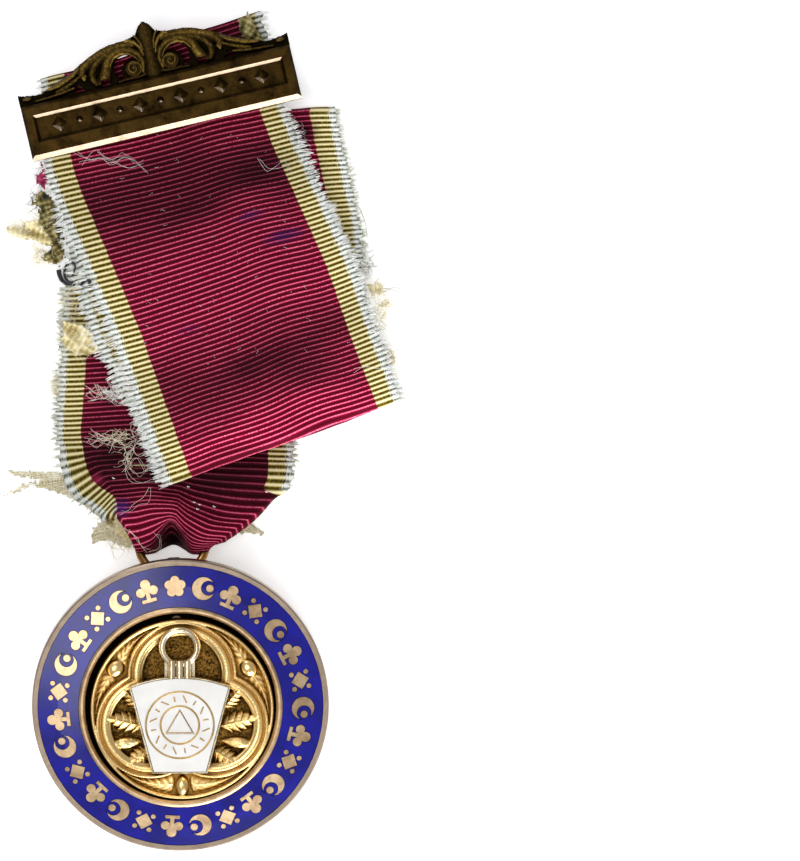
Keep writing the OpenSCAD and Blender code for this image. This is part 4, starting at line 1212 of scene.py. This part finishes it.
# Middle and radius of the volute, and how much wider than drawn the strokes are
VOLUTE = (2.8, 10.05, 1.4)
STROKE_SWELL = 1.3


def stroke_height(x, y, stroke):
    height, line = stroke
    best = 0.0
    for (xa, ya, wa), (xb, yb, wb) in zip(line, line[1:]):
        if not min(xa, xb) - 1.1 < x < max(xa, xb) + 1.1:
            continue
        if not min(ya, yb) - 1.1 < y < max(ya, yb) + 1.1:
            continue
        span = (xb - xa) ** 2 + (yb - ya) ** 2
        t = max(0.0, min(1.0, ((x - xa) * (xb - xa) + (y - ya) * (yb - ya)) / span))
        far = math.hypot(x - xa - t * (xb - xa), y - ya - t * (yb - ya))
        half = wa + (wb - wa) * t
        if far < half * STROKE_SWELL:
            best = max(best, bump_shape(far, half * STROKE_SWELL, height * 0.75))
    return best


def crest_point(x, y):
    x = abs(x)
    high = max(stroke_height(x, y, stroke) for stroke in STROKES)
    from_volute = math.hypot(x - VOLUTE[0], y - VOLUTE[1]) / VOLUTE[2]
    if from_volute < 1:
        turn = math.atan2(y - VOLUTE[1], x - VOLUTE[0]) / (2 * math.pi)
        dish = 0.5 + 0.1 * math.cos(2 * math.pi * (from_volute * 1.9 - turn))
        high = max(high, dish * soft_step(1 - from_volute, 0, 0.15))
    veins = 0.05 * noise.noise(Vector((x * 2.2, y * 2.2, 4.0)))
    return CREST_TOP + high + veins, min(1.0, high + 0.05)


half_bar = BAR_LENGTH / 2
crest_line = [(half_bar * x, BAR_HEIGHT + CREST_H * y) for x, y in CREST_SIDE]
crest_outline = crest_line + [(-x, y) for x, y in reversed(crest_line[:-1])]


def pierced(x, y):
    """True inside an opening: beside the volute, or one of the two small ones farther out."""
    x = abs(x)
    in_scroll = math.hypot(x - 3.9, y - 10.47) < 1.9 and math.hypot(x - 2.96, y - 9.72) > 1.75
    in_gap = abs(x - 7.42) < 0.65 and abs(y - 8.95) < 0.45
    in_corner = abs(x - 11.5) < 0.9 - max(0.0, y - 8.54) * 0.75 and 8.54 < y < 9.55
    return in_scroll or in_gap or in_corner


def crest_place(i, j):
    return -half_bar - 0.05 + i * CREST_CELL, BAR_HEIGHT - 0.3 + j * CREST_CELL


crest_gilt = struck_gilt("dark_patina_on_gilt", "#8C7032", "#3A2C12", "#161006", 0.3, 0.08, 0.9)
crest = raised_grid(
    "crest_scrolls",
    int((BAR_LENGTH + 0.1) / CREST_CELL),
    int((CREST_H + 0.4) / CREST_CELL),
    crest_place,
    crest_point,
    lambda x, y: inside(crest_outline, x, y) and not pierced(x, y),
    CREST_BACK,
    crest_gilt,
)
lay(crest, BAR)

# %% [markdown]
# ## The dark gap round the disc
# Between the disc and the band one looks down into the well. A near-black seat is put there as painted
# shade, so that the gap shows dark. The seat is a flat ring: a filled circle, an inset that leaves the
# ring, the middle deleted, and a little thickness.

# %% Well seat
def well_seat():
    bpy.ops.object.select_all(action="DESELECT")
    bpy.ops.mesh.primitive_circle_add(vertices=96, radius=14.27, fill_type="NGON", location=(0, 0, 0))
    seat = bpy.context.object
    bpy.ops.object.mode_set(mode="EDIT")
    bpy.ops.mesh.select_all(action="SELECT")
    bpy.ops.mesh.inset(thickness=1.6)
    bpy.ops.mesh.delete(type="FACE")
    bpy.ops.object.mode_set(mode="OBJECT")
    skin = seat.modifiers.new("skin", "SOLIDIFY")
    skin.thickness = 0.2
    bpy.ops.object.modifier_apply(modifier="skin")
    seat.name = "well_seat"
    # The seat's near-black colour is painted shade in the gap round the disc.
    seat.data.materials.append(gilt("painted_shade_well_seat", "#1A120A", "#0E0A06", "#050302", 0.6, 1.5))
    lay(seat, MEDAL @ Matrix.Translation((0, 0, 1.25)))
    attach(seat, "root")
    print("well_seat", len(seat.data.polygons), "faces")


well_seat()

# %% [markdown]
# ## Marks on the keystone
# The white enamel carries thin gilt lines: two rings, a triangle inside them, and a row of small bars
# between. They are inlaid wire, so each ring is a torus pressed flat, and the triangle is the same
# torus with three corners. Wire laid at the enamel's own height shows as a fine line from above.

# %% Gilt inlay
# Middle of the marks in the medal's own frame, half width of a line, number and distance of the bars
MARK_AT = (-0.13, -2.45, 4.12)
LINE = 0.15
BARS, BARS_R = 16, 3.98
inlay_gilt = gilt("worn_inlay_gilt", "#B89A66", "#9A7C4A", "#6A5430", 0.4, 0.3, 0.3)


def finish_piece(piece, name, material, matrix):
    piece.name = name
    piece.data.name = name
    piece.data.materials.clear()
    piece.data.materials.append(material)
    lay(piece, matrix)
    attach(piece, "root")
    print(name, len(piece.data.polygons), "faces")


def pressed_ring(name, radius, corners, turn):
    bpy.ops.object.select_all(action="DESELECT")
    bpy.ops.mesh.primitive_torus_add(
        major_radius=radius, minor_radius=LINE, major_segments=corners, minor_segments=8
    )
    ring = bpy.context.object
    bpy.ops.object.mode_set(mode="EDIT")
    bpy.ops.mesh.select_all(action="SELECT")
    bpy.ops.transform.resize(value=(1, 1, 0.35))
    bpy.ops.object.mode_set(mode="OBJECT")
    at = MEDAL @ Matrix.Translation(MARK_AT) @ turned(turn, "Z")
    finish_piece(ring, name, inlay_gilt, at)


pressed_ring("mark_outer_ring", 5.07, 96, 0)
pressed_ring("mark_inner_ring", 2.88, 72, 0)
pressed_ring("mark_triangle", 2.3, 3, 90)


def inlaid_bar(number, angle, long):
    """A short bar on the line between the rings, its corners rounded by a bevel."""
    bpy.ops.object.select_all(action="DESELECT")
    bpy.ops.mesh.primitive_cube_add(size=1)
    bar = bpy.context.object
    bar.data.transform(Matrix.Diagonal((long, 0.22, 0.09, 1)))
    edge_bevel = bar.modifiers.new("bevel", "BEVEL")
    edge_bevel.width = 0.04
    edge_bevel.segments = 2
    bpy.ops.object.modifier_apply(modifier="bevel")
    at = Matrix.Translation(MARK_AT) @ turned(angle, "Z") @ Matrix.Translation((BARS_R, 0, 0))
    place = MEDAL @ at @ turned(35 if number % 2 else 0, "Z")
    finish_piece(bar, f"mark_bar_{number:02d}", inlay_gilt, place)


for number in range(BARS):
    inlaid_bar(number, (number + 0.5) * 360 / BARS, 1.25 if number % 2 else 0.8)

# %% [markdown]
# ## The edge of the bar's sunk field
# The bar's long field has a sloping edge. Where it faces the foot the bar's finish makes it light, a
# painted highlight of the foot light. It starts as a plane of the field's size: an inset gives it a frame,
# the middle is deleted, the outer loop is lifted and the strip gets a little thickness. Lozenges and small
# bosses stand along the field.

# %% Field edge
FIELD_LOW, FIELD_HIGH, FIELD_END, FIELD_FLOOR = 2.5, 6.6, 19.1, 2.3
SLOPE = 0.42


def field_edge():
    bpy.ops.object.select_all(action="DESELECT")
    bpy.ops.mesh.primitive_plane_add(size=1)
    strip = bpy.context.object
    middle = (FIELD_LOW + FIELD_HIGH) / 2
    size = Matrix.Diagonal((2 * FIELD_END, FIELD_HIGH - FIELD_LOW, 1, 1))
    strip.data.transform(Matrix.Translation((0, middle, FIELD_FLOOR + 0.02)) @ size)
    bpy.ops.object.mode_set(mode="EDIT")
    bpy.ops.mesh.select_all(action="SELECT")
    bpy.ops.mesh.inset(thickness=SLOPE)
    bpy.ops.mesh.delete(type="FACE")
    bpy.ops.object.mode_set(mode="OBJECT")
    for corner in strip.data.vertices:
        if abs(corner.co.x) > FIELD_END - 0.1:
            corner.co.z += 0.4
    skin = strip.modifiers.new("skin", "SOLIDIFY")
    skin.thickness = 0.12
    bpy.ops.object.modifier_apply(modifier="skin")
    finish_piece(strip, "field_edge", bar_gilt, BAR)


field_edge()


def field_boss(number, x, corners, radius):
    """A low pointed boss: a cone cut off near its tip and softened by a bevel."""
    bpy.ops.object.select_all(action="DESELECT")
    bpy.ops.mesh.primitive_cone_add(vertices=corners, radius1=radius, radius2=radius * 0.35, depth=0.4)
    boss = bpy.context.object
    soften = boss.modifiers.new("soften", "BEVEL")
    soften.width = 0.09
    soften.segments = 3
    bpy.ops.object.modifier_apply(modifier="soften")
    bpy.ops.object.shade_smooth_by_angle(angle=math.radians(40))
    at = Matrix.Translation((x, 4.55, FIELD_FLOOR + 0.2))
    finish_piece(boss, f"field_boss_{number:02d}", bar_gilt, BAR @ at @ turned(90, "Z"))


for number in range(11):
    field_boss(number, (number - 5) * 3.1, 24 if number % 2 else 4, 0.5 if number % 2 else 1.25)

# %% [markdown]
# ## Torn net
# Two scraps of cream net lining hang out at the ribbon's foot. Net is open, so it is made of its own
# threads: two sets that cross inside the scrap's torn outline, each wandering a little, with loose
# ends where it has torn.

# %% Net scraps
LEFT_SCRAP, RIGHT_SCRAP = 26.0, 14.2
LEFT_OUTLINE = [
    (-1, 0.10), (-0.82, 0.165), (-0.69, 0.13), (-0.54, 0.065), (-0.41, -0.03), (-0.47, -0.1),
    (-0.47, -0.175), (-0.38, -0.15), (-0.25, -0.2), (-0.22, -0.17), (-0.29, -0.04),
    (-0.35, 0.115), (-0.5, 0.24), (-0.71, 0.245), (-0.98, 0.25), (-0.9, 0.22), (-0.75, 0.2), (-0.86, 0.17),
]
RIGHT_OUTLINE = [(1, -0.22), (0.68, -0.19), (0.5, -0.04), (0.56, 0.18), (0.75, 0.1), (0.79, -0.07)]


def net(name, shares, size, angle, mesh_mm, seed):
    rng = random.Random(seed)
    outline = [(x * size, y * size) for x, y in shares]
    strands = Strands()
    middle = Vector((sum(p[0] for p in outline), sum(p[1] for p in outline), 0)) / len(outline)
    for turn in (angle, angle + 78):
        along = Vector((math.cos(math.radians(turn)), math.sin(math.radians(turn)), 0))
        beside = Vector((-along.y, along.x, 0))
        for n in range(int(-size / mesh_mm), int(size / mesh_mm)):
            line = []
            drift = rng.uniform(-0.12, 0.12)
            for k in range(int(-size * 2), int(size * 2)):
                p = middle + beside * (n * mesh_mm + drift) + along * k * 0.5
                p += beside * 0.7 * noise.noise(Vector((p.x * 0.25, p.y * 0.25, seed)))
                p.z = 0.55 + 0.35 * noise.noise(Vector((p.x * 0.3, p.y * 0.3, seed + 7)))
                p.z += 0.06 if turn == angle else -0.06
                if inside(outline, p.x, p.y):
                    line.append(p)
                    continue
                if len(line) > 1:
                    strands.add(line, rng.uniform(0.06, 0.1), 0.9, 3)
                line = []
            if len(line) > 1:
                strands.add(line, 0.07, 0.9, 3)
    return strands.make(name, cream_thread, "gauze")


left_net = net("left_net", LEFT_OUTLINE, LEFT_SCRAP, 12, 0.3, 5)
right_net = net("right_net", RIGHT_OUTLINE, RIGHT_SCRAP, -38, 0.3, 8)
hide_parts("left_gauze")
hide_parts("right_gauze")

# %% [markdown]
# ## Torn scraps
# Crumpled scraps hang round the edges, most of them at the upper left: bits of crimson and cream silk, gold
# silk painted darker as olive where it lies in shade, and behind the net its lining. A scrap is a torn
# outline filled with a grid whose points are pushed up by a ridged noise, so it folds like crushed cloth.
# Its height also drives its colour: painted light on the ridges and painted shade in the folds.

# %% Crumpled cloth
# Size of the crushed silk's flecks, in millimetres
CRUSH = 0.4167


def crumpled_silk(name, dark, middle, light):
    material, put = new_material(name)
    # Painted light and shade: the colour is lighter on the scrap's ridges and darker in its folds.
    wear_and_shade = put("Attribute", attribute_name="wear_and_shade").outputs["Fac"]
    crush = body_noise(put, CRUSH, 2, 0.6)
    fleck = put("Math", {0: crush, 1: 0.6, 2: -0.3}, operation="MULTIPLY_ADD")
    level = put("Math", {0: wear_and_shade, 1: fleck}, operation="ADD")
    colour = put("ValToRGB", {0: level}, stops=[(0.05, dark), (0.45, middle), (0.85, light)])
    bump = put("Bump", {"Strength": 0.5, "Distance": 0.08 * MM, "Height": crush})
    look = {"Base Color": colour, "Roughness": 0.75, "Normal": bump, "Sheen Weight": 0.2}
    put("OutputMaterial", {"Surface": put("BsdfPrincipled", look)})
    return material


# Cell of a scrap's grid, and the room round its outline for the torn edge
SCRAP_CELL, TORN_ROOM = 0.22, 0.4


def scrap(name, finish, low, rise, ridge_turn, outline, slot="ribbon"):
    """low is the height of the scrap's underside, rise how far its folds stand up, in millimetres."""
    xs, ys = [p[0] for p in outline], [p[1] for p in outline]
    a = math.radians(ridge_turn)

    def fold_up(x, y):
        along, beside = x * math.cos(a) + y * math.sin(a), y * math.cos(a) - x * math.sin(a)
        ridge = 1 - abs(noise.noise(Vector((along * 0.28, beside * 0.9, low)))) * 2
        rib = 0.5 + 0.5 * math.sin(2 * math.pi * along / RIB)
        share = 0.55 * ridge + 0.25 * rib + 0.25 * noise.noise(Vector((x, y, low + 5)))
        share = max(0.0, min(1.0, share))
        return low + 0.12 + rise * share, share

    def torn(x, y):
        tear = 0.5 * noise.noise(Vector((x * 1.7, y * 1.7, low + 2)))
        return inside(outline, x + tear, y - tear)

    piece = raised_grid(
        name,
        int((max(xs) - min(xs)) / SCRAP_CELL) + 4,
        int((max(ys) - min(ys)) / SCRAP_CELL) + 4,
        lambda i, j: (min(xs) - TORN_ROOM + i * SCRAP_CELL, min(ys) - TORN_ROOM + j * SCRAP_CELL),
        fold_up,
        torn,
        low,
        finish,
    )
    lay(piece, Matrix.Identity(4))
    return piece


# The olive silk is the gold silk painted darker, a painted shade where it lies in shadow.
gold_scrap_silk_in_shade = crumpled_silk("crushed_gold_silk_painted_shade", "#221C08", "#74662A", "#C8BA80")
cream_scrap_silk = crumpled_silk("crushed_cream_silk", "#AE9A5C", "#ECDCA2", "#FFF8DC")
crimson_scrap_silk = crumpled_silk("crushed_crimson_silk", "#4A0420", "#9A1048", "#C83A74")
lining_net = crumpled_silk("cream_net_lining", "#A8A282", "#D4CEAE", "#F6F2E2")
# Scraps: name, finish, height of the underside, rise and turn of the folds, torn outline
SCRAPS = [
    ("crimson_scrap", crimson_scrap_silk, 3.4, 1.3, 70, [
        (-19.3, 52.8), (-18.8, 50.7), (-18.9, 48.3), (-19.8, 49.2), (-20.6, 49.8), (-19.9, 50.7),
    ]),
    ("grey_net_scrap", gold_scrap_silk_in_shade, 1.3, 0.8, 20, [
        (-19.8, 48.6), (-18.1, 47.4), (-17.2, 45.6), (-18.4, 45.0), (-20.2, 46.2), (-21.4, 46.6),
    ]),
    ("olive_scrap", gold_scrap_silk_in_shade, 1.2, 1.9, 115, [
        (-19.1, 46.5), (-17.2, 46.2), (-16.3, 43.8), (-16.3, 41.1), (-18.1, 41.1), (-19.6, 43.2),
        (-20.2, 45.3),
    ]),
    ("cream_scrap", cream_scrap_silk, 0.5, 1.7, 170, [
        (-19.9, 44.2), (-18.4, 42.9), (-17.2, 41.1), (-18.8, 40.2), (-20.8, 41.1), (-23.6, 41.7),
        (-25.1, 42.8), (-22.6, 42.9), (-21.4, 43.9),
    ]),
    ("torn_olive_foot", gold_scrap_silk_in_shade, 0.6, 1.3, 120, [
        (-18.1, 41.1), (-16.3, 40.8), (-16.1, 38.7), (-17.2, 37.2), (-19.1, 37.8), (-19.8, 38.4),
        (-18.4, 39.3),
    ]),
    ("cream_mass", cream_scrap_silk, 2.2, 1.0, 150, [
        (-16.3, 28.8), (-13.9, 28.5), (-12.2, 27.3), (-10.7, 25.3), (-11.8, 24.0), (-14.2, 23.7),
        (-16.3, 25.2),
    ]),
    ("right_cream_scrap", cream_scrap_silk, 0.8, 1.4, 70, [
        (30.8, 25.1), (32.9, 24.6), (33.3, 22.8), (31.9, 21.6), (30.4, 22.8),
    ]),
    ("right_tuft_scrap", cream_scrap_silk, 0.8, 1.2, 20, [
        (28.9, 34.6), (31.2, 34.5), (31.6, 33.3), (29.8, 32.9),
    ]),
    ("tuck_corner", gold_scrap_silk_in_shade, 5.0, 1.1, 60, [
        (10.5, 74.1), (11.4, 75.0), (12.8, 72.1), (13.7, 70.8), (12.4, 70.2), (10.9, 71.1),
        (10.0, 72.6),
    ]),
    ("foot_scrap", cream_scrap_silk, 1.4, 1.2, 130, [
        (-10.9, 0.3), (-9.2, 1.2), (-7.0, -0.9), (-5.2, -3.0), (-4.0, -5.1), (-5.8, -4.8),
        (-8.2, -3.0), (-10.0, -1.8),
    ]),
]
for piece in SCRAPS:
    scrap(*piece)
LININGS = (("left_lining", LEFT_OUTLINE, LEFT_SCRAP), ("right_lining", RIGHT_OUTLINE, RIGHT_SCRAP))
for name, shares, size in LININGS:
    outline = [(x * size * 0.985, y * size * 0.985) for x, y in shares]
    scrap(name, lining_net, 0.12, 0.3, 15, outline, "gauze")

# %% [markdown]
# ## Loose threads and fluff
# Old silk sheds. Ends of cream and olive thread have worked out of the edges into fluff, pale hairs
# lie on the ribs, and a bit of black sewing thread is caught in the left edge. Each thread is laid on
# what is under it: a ray is sent down on the silk, and the thread rests at that height or on the floor.

# %% What a thread rests on
from mathutils.bvhtree import BVHTree


def tree_of(piece):
    corners = [v.co / MM for v in piece.data.vertices]
    return BVHTree.FromPolygons(corners, [f.vertices[:] for f in piece.data.polygons])


SILK_TREES = [tree_of(front_silk), tree_of(rear_silk)]
# Rays start above the whole jewel
RAY_FROM = 40


def resting(x, y):
    """Height of the silk or of the floor under this point, in millimetres."""
    hits = [tree.ray_cast(Vector((x, y, RAY_FROM)), Vector((0, 0, -1)))[0] for tree in SILK_TREES]
    return max([0.0] + [hit.z for hit in hits if hit])


# %% Draw loose threads
LOOSE_FINISH = {
    "cream": cream_thread,
    "blond": thread_finish("blond_silk_thread", "#E4D2BC", "#FFF2E6", 0.2),
    "olive": thread_finish("olive_silk_thread", "#2E2C12", "#8E8A56"),
    "crimson": thread_finish("crimson_silk_thread", "#5A0A26", "#A8305A"),
    "grey": thread_finish("grey_lint", "#8A8F90", "#D4D8D8"),
    "pale": pale_thread,
    "black": thread_finish("black_sewing_thread", "#040508", "#1C1E26"),
}
loose = {kind: Strands() for kind in LOOSE_FINISH}
# Points from one corner of a thread to the next
BEND_STEPS = 6
# Without a seed of its own, noise_vector would waver the threads another way at each run
noise.seed_set(19)


def lay_thread(kind, radius, lift, corners):
    """A thread through a few corners, smoothed, wavering a little and resting on what is below."""
    line = []
    last = len(corners) - 1
    for i in range(last):
        before, a, b, after = (Vector(corners[max(0, min(last, i + k))]) for k in (-1, 0, 1, 2))
        for step in range(BEND_STEPS):
            t = step / BEND_STEPS
            bend = (b - before) * t * (1 - t) ** 2 * 0.5 - (after - a) * t * t * (1 - t) * 0.5
            p = a * (2 * t**3 - 3 * t * t + 1) + b * (3 * t * t - 2 * t**3) + bend
            p = Vector((p.x, p.y, 0)) + 0.12 * noise.noise_vector(Vector((p.x, p.y, lift * 9)))
            line.append(Vector((p.x, p.y, resting(p.x, p.y) + lift + p.z)))
    end = Vector(corners[-1])
    line.append(Vector((end.x, end.y, resting(end.x, end.y) + lift)))
    loose[kind].add(line, radius, 0.6, 5)


# Single threads: kind, radius, lift and corners
THREADS = [
    ("black", 0.42, 0.8, [(-17.2, 36.6), (-16.9, 35.7), (-16.6, 35.1), (-15.8, 34.5), (-14.5, 34.6)]),
    ("black", 0.26, 1.6, [
        (-14.7, 34.6), (-15.8, 35.1), (-16.2, 36.3), (-15.8, 37.5), (-14.8, 37.6), (-14.5, 36.8),
        (-15.0, 35.7),
    ]),
    ("black", 0.32, 1.0, [
        (-13.7, 34.5), (-13.0, 34.2), (-12.4, 34.5), (-12.2, 34.8), (-12.8, 34.9), (-13.5, 34.6),
    ]),
    ("cream", 0.05, 0.25, [(-18.8, 43.8), (-20.6, 44.9), (-22.2, 46.0)]),
    ("cream", 0.05, 0.25, [(-18.4, 42.3), (-19.9, 43.8), (-21.4, 44.7)]),
    ("cream", 0.06, 0.25, [(-19.2, 41.7), (-22.3, 42.1), (-25.4, 42.8)]),
    ("cream", 0.05, 0.25, [(-17.6, 39.6), (-19.1, 38.7), (-19.9, 38.1)]),
    ("olive", 0.05, 0.25, [(26.8, 46.9), (27.8, 46.0), (28.5, 44.9), (28.9, 43.2), (29.1, 41.4)]),
    ("olive", 0.05, 0.25, [(27.3, 37.8), (28.5, 37.0), (30.8, 37.2)]),
    ("olive", 0.05, 0.25, [(29.8, 34.0), (32.2, 33.8), (34.6, 33.1)]),
    ("olive", 0.05, 0.25, [(29.8, 34.4), (31.6, 33.4), (33.1, 34.0), (34.4, 33.6)]),
]
for thread in THREADS:
    lay_thread(*thread)

# Specks of pale thread, each a short bent end
for x, y in ((3.1, 1.9), (3.9, 1.6), (3.6, 0.9), (6.1, 1.2), (2.2, 4.2), (13.9, 3.4), (-9.0, 5.5)):
    lay_thread("pale", 0.09, 0.12, [(x, y), (x + 0.2, y - 0.15), (x + 0.35, y - 0.1)])

# Tangles: two fine threads keep close to each line
TANGLES = [
    ("blond", [(-12.8, 18.3), (-11.4, 17.2), (-9.8, 18.4), (-8.1, 17.1), (-6.8, 18.0)]),
    ("blond", [(-11.8, 19.2), (-10.3, 17.7), (-8.5, 18.9), (-6.9, 17.4)]),
    ("blond", [(-13.0, 10.9), (-11.4, 9.8), (-9.0, 11.5), (-6.5, 10.2), (-4.3, 11.2)]),
    ("blond", [(-12.4, 12.6), (-10.2, 10.9), (-7.6, 12.4), (-5.1, 10.7)]),
    ("blond", [(-6.0, 9.9), (-7.0, 8.4), (-6.0, 6.5), (-4.2, 6.0), (-3.3, 7.0)]),
    ("blond", [
        (-5.0, 11.1), (-6.0, 9.3), (-6.8, 7.3), (-6.5, 5.1), (-4.5, 4.5), (-1.9, 5.4), (-1.2, 6.9),
        (-1.5, 8.1),
    ]),
    ("blond", [(-13.2, 18.8), (-10.9, 18.1), (-9.2, 18.6), (-7.5, 17.8)]),
    ("blond", [(-12.8, 17.7), (-10.8, 18.8), (-9.4, 17.4), (-7.0, 18.4)]),
    ("blond", [(-12.4, 16.8), (-10.0, 17.4), (-8.2, 16.6), (-6.5, 17.2)]),
    ("blond", [(-13.2, 11.4), (-10.9, 11.7), (-8.2, 10.3), (-5.0, 11.7)]),
    ("blond", [(-12.2, 10.5), (-9.8, 12.0), (-7.3, 11.1), (-4.5, 12.3)]),
    ("blond", [(-11.5, 12.3), (-9.2, 11.2), (-6.8, 12.2), (-4.0, 10.9)]),
    ("blond", [(-7.9, 9.3), (-6.1, 10.2), (-4.8, 8.8), (-3.1, 9.6)]),
    ("blond", [(-7.3, 6.6), (-5.5, 7.8), (-4.0, 6.6), (-3.4, 8.1)]),
    ("blond", [(-3.4, 3.9), (-4.0, 2.4), (-5.2, 1.5), (-6.3, 0.6), (-7.8, -0.1)]),
    ("blond", [(-6.8, -2.1), (-5.4, -3.3), (-4.6, -4.8), (-3.4, -5.7)]),
    ("blond", [(-3.4, -5.7), (-1.9, -5.1), (-1.5, -3.9), (-2.4, -2.9)]),
    ("pale", [(-14.7, 54.3), (-12.2, 53.1), (-9.8, 53.4), (-7.0, 51.9), (-4.2, 52.4)]),
    ("pale", [(-13.7, 52.2), (-11.2, 53.7), (-9.2, 52.2), (-6.3, 53.4), (-3.9, 51.6)]),
    ("pale", [(-10.9, 54.6), (-9.2, 52.8), (-7.6, 53.9), (-5.2, 52.6)]),
    ("pale", [(13.3, 53.1), (14.7, 51.6), (16.8, 52.2), (17.7, 50.7)]),
    ("pale", [(26.8, 21.3), (28.9, 22.2), (30.8, 21.4), (31.9, 22.8)]),
]
tangle_draw = random.Random(19)
for kind, corners in TANGLES:
    for _ in range(2):
        near = [(x + tangle_draw.gauss(0, 0.3), y + tangle_draw.gauss(0, 0.3)) for x, y in corners]
        radius = 0.018 if kind == "pale" else tangle_draw.uniform(0.018, 0.032)
        lay_thread(kind, radius, tangle_draw.uniform(0.1, 0.7), near)

# %% Fluff
# Fluff: kind, middle, half size, height of its middle, strands, strand length, wildness, drift
FLUFF = [
    ("cream", (-15.4, 31.6), (1.3, 3.0), 2.2, 60, 1.6, 0.4, (-1, 0)),
    ("cream", (-13.7, 26.1), (3.0, 2.2), 3.0, 120, 2.4, 0.6, (0, 0)),
    ("cream", (-22.6, 42.3), (2.2, 0.9), 1.4, 70, 3.0, 0.35, (-1.2, 0.1)),
    ("cream", (-19.1, 38.4), (1.5, 1.2), 1.4, 60, 3.0, 0.4, (-1, 0.1)),
    ("olive", (-19.9, 47.1), (1.2, 1.2), 1.9, 40, 2.0, 0.4, (-0.6, 0.3)),
    ("olive", (-18.4, 43.8), (1.5, 2.5), 2.8, 50, 2.0, 0.5, (-0.4, 0)),
    ("crimson", (-19.6, 50.5), (0.8, 1.6), 2.6, 24, 1.6, 0.35, (-0.6, -0.2)),
    ("cream", (-17.4, 19.2), (0.6, 1.8), 1.2, 60, 1.8, 0.4, (-0.8, 0)),
    ("cream", (-8.5, -2.4), (2.1, 2.4), 2.6, 110, 3.2, 0.6, (0.4, -0.5)),
    ("cream", (-6.0, -4.0), (1.2, 1.1), 3.4, 60, 3.0, 0.6, (0.4, -0.3)),
    ("cream", (31.9, 23.6), (1.2, 1.5), 1.8, 60, 2.2, 0.5, (0.6, 0)),
    ("cream", (30.4, 33.8), (1.1, 0.8), 1.8, 50, 2.4, 0.4, (0.9, 0)),
    ("cream", (31.6, 31.5), (0.9, 0.4), 1.4, 40, 2.2, 0.4, (0.8, 0)),
    ("olive", (28.6, 37.8), (0.9, 2.4), 1.8, 50, 2.0, 0.5, (0.7, 0)),
    ("cream", (30.8, 29.4), (0.9, 2.1), 1.6, 60, 2.0, 0.5, (0.7, 0)),
    ("cream", (32.7, 19.3), (0.9, 1.8), 1.4, 60, 2.2, 0.5, (0.6, 0)),
    ("grey", (18.1, 56.9), (1.3, 0.8), 4.4, 60, 2.2, 0.6, (0.3, 0)),
    ("pale", (-8.2, 18.0), (1.8, 0.8), 3.2, 60, 2.6, 0.5, (-1, 0.2)),
    ("cream", (-7.9, 11.4), (2.4, 0.8), 3.2, 30, 2.8, 0.4, (-1, 0.2)),
    ("cream", (-6.8, 8.1), (1.1, 1.8), 3.0, 20, 2.4, 0.5, (0, -0.6)),
]


FLUFF_BENDS = 5


def wandering(rng, start, ahead, long, wild):
    """A strand that strays at each of its bends and stays above the floor."""
    line, heading = [start], ahead
    for _ in range(FLUFF_BENDS):
        heading = (heading + Vector([rng.gauss(0, wild) for _ in range(3)])).normalized()
        p = line[-1] + heading * long / FLUFF_BENDS
        p.z = max(p.z, 0.1)
        line.append(p)
    return line


fluff_draw = random.Random(41)
for kind, middle, half, height, count, long, wild, drift in FLUFF:
    for _ in range(count):
        turn, out = fluff_draw.uniform(0, 2 * math.pi), math.sqrt(fluff_draw.random())
        x, y = middle[0] + half[0] * out * math.cos(turn), middle[1] + half[1] * out * math.sin(turn)
        start = Vector((x, y, 0))
        start.z = max(0.2, height * (1.15 - 0.5 * out) * fluff_draw.uniform(0.5, 1.1))
        stray = [fluff_draw.gauss(0, far) for far in (0.6, 0.6, 0.25)]
        ahead = Vector((drift[0] + stray[0], drift[1] + stray[1], stray[2]))
        line = wandering(fluff_draw, start, ahead.normalized(), long * fluff_draw.uniform(0.5, 1.2), wild)
        loose[kind].add(line, fluff_draw.uniform(0.03, 0.06), 0.4, 3)

# %% Lint on the silk
# Lint is drawn only on the rows that show, from below the bar to the lower fold
SHOWN_FROM, SHOWN_TO = 40, int(0.47 * len(front_fine))
LINT = 70
lint_draw = random.Random(77)
for _ in range(LINT):
    i = lint_draw.randrange(SHOWN_FROM, SHOWN_TO)
    spot = cloth_point(front_fine, i, lint_draw.uniform(-15, 15), (0, 0), 0)
    turn, long = lint_draw.uniform(0, math.pi), lint_draw.uniform(0.15, 0.8)
    line = []
    for t in (-0.5, -0.2, 0.2, 0.5):
        x, y = spot.x + math.cos(turn) * long * t, spot.y + math.sin(turn + t) * long * t
        line.append(Vector((x, y, resting(x, y) + 0.06)))
    loose["pale"].add(line, lint_draw.uniform(0.01, 0.02), 0.6, 3)

for kind, strands in loose.items():
    strands.make("loose_" + kind, LOOSE_FINISH[kind], "ribbon")
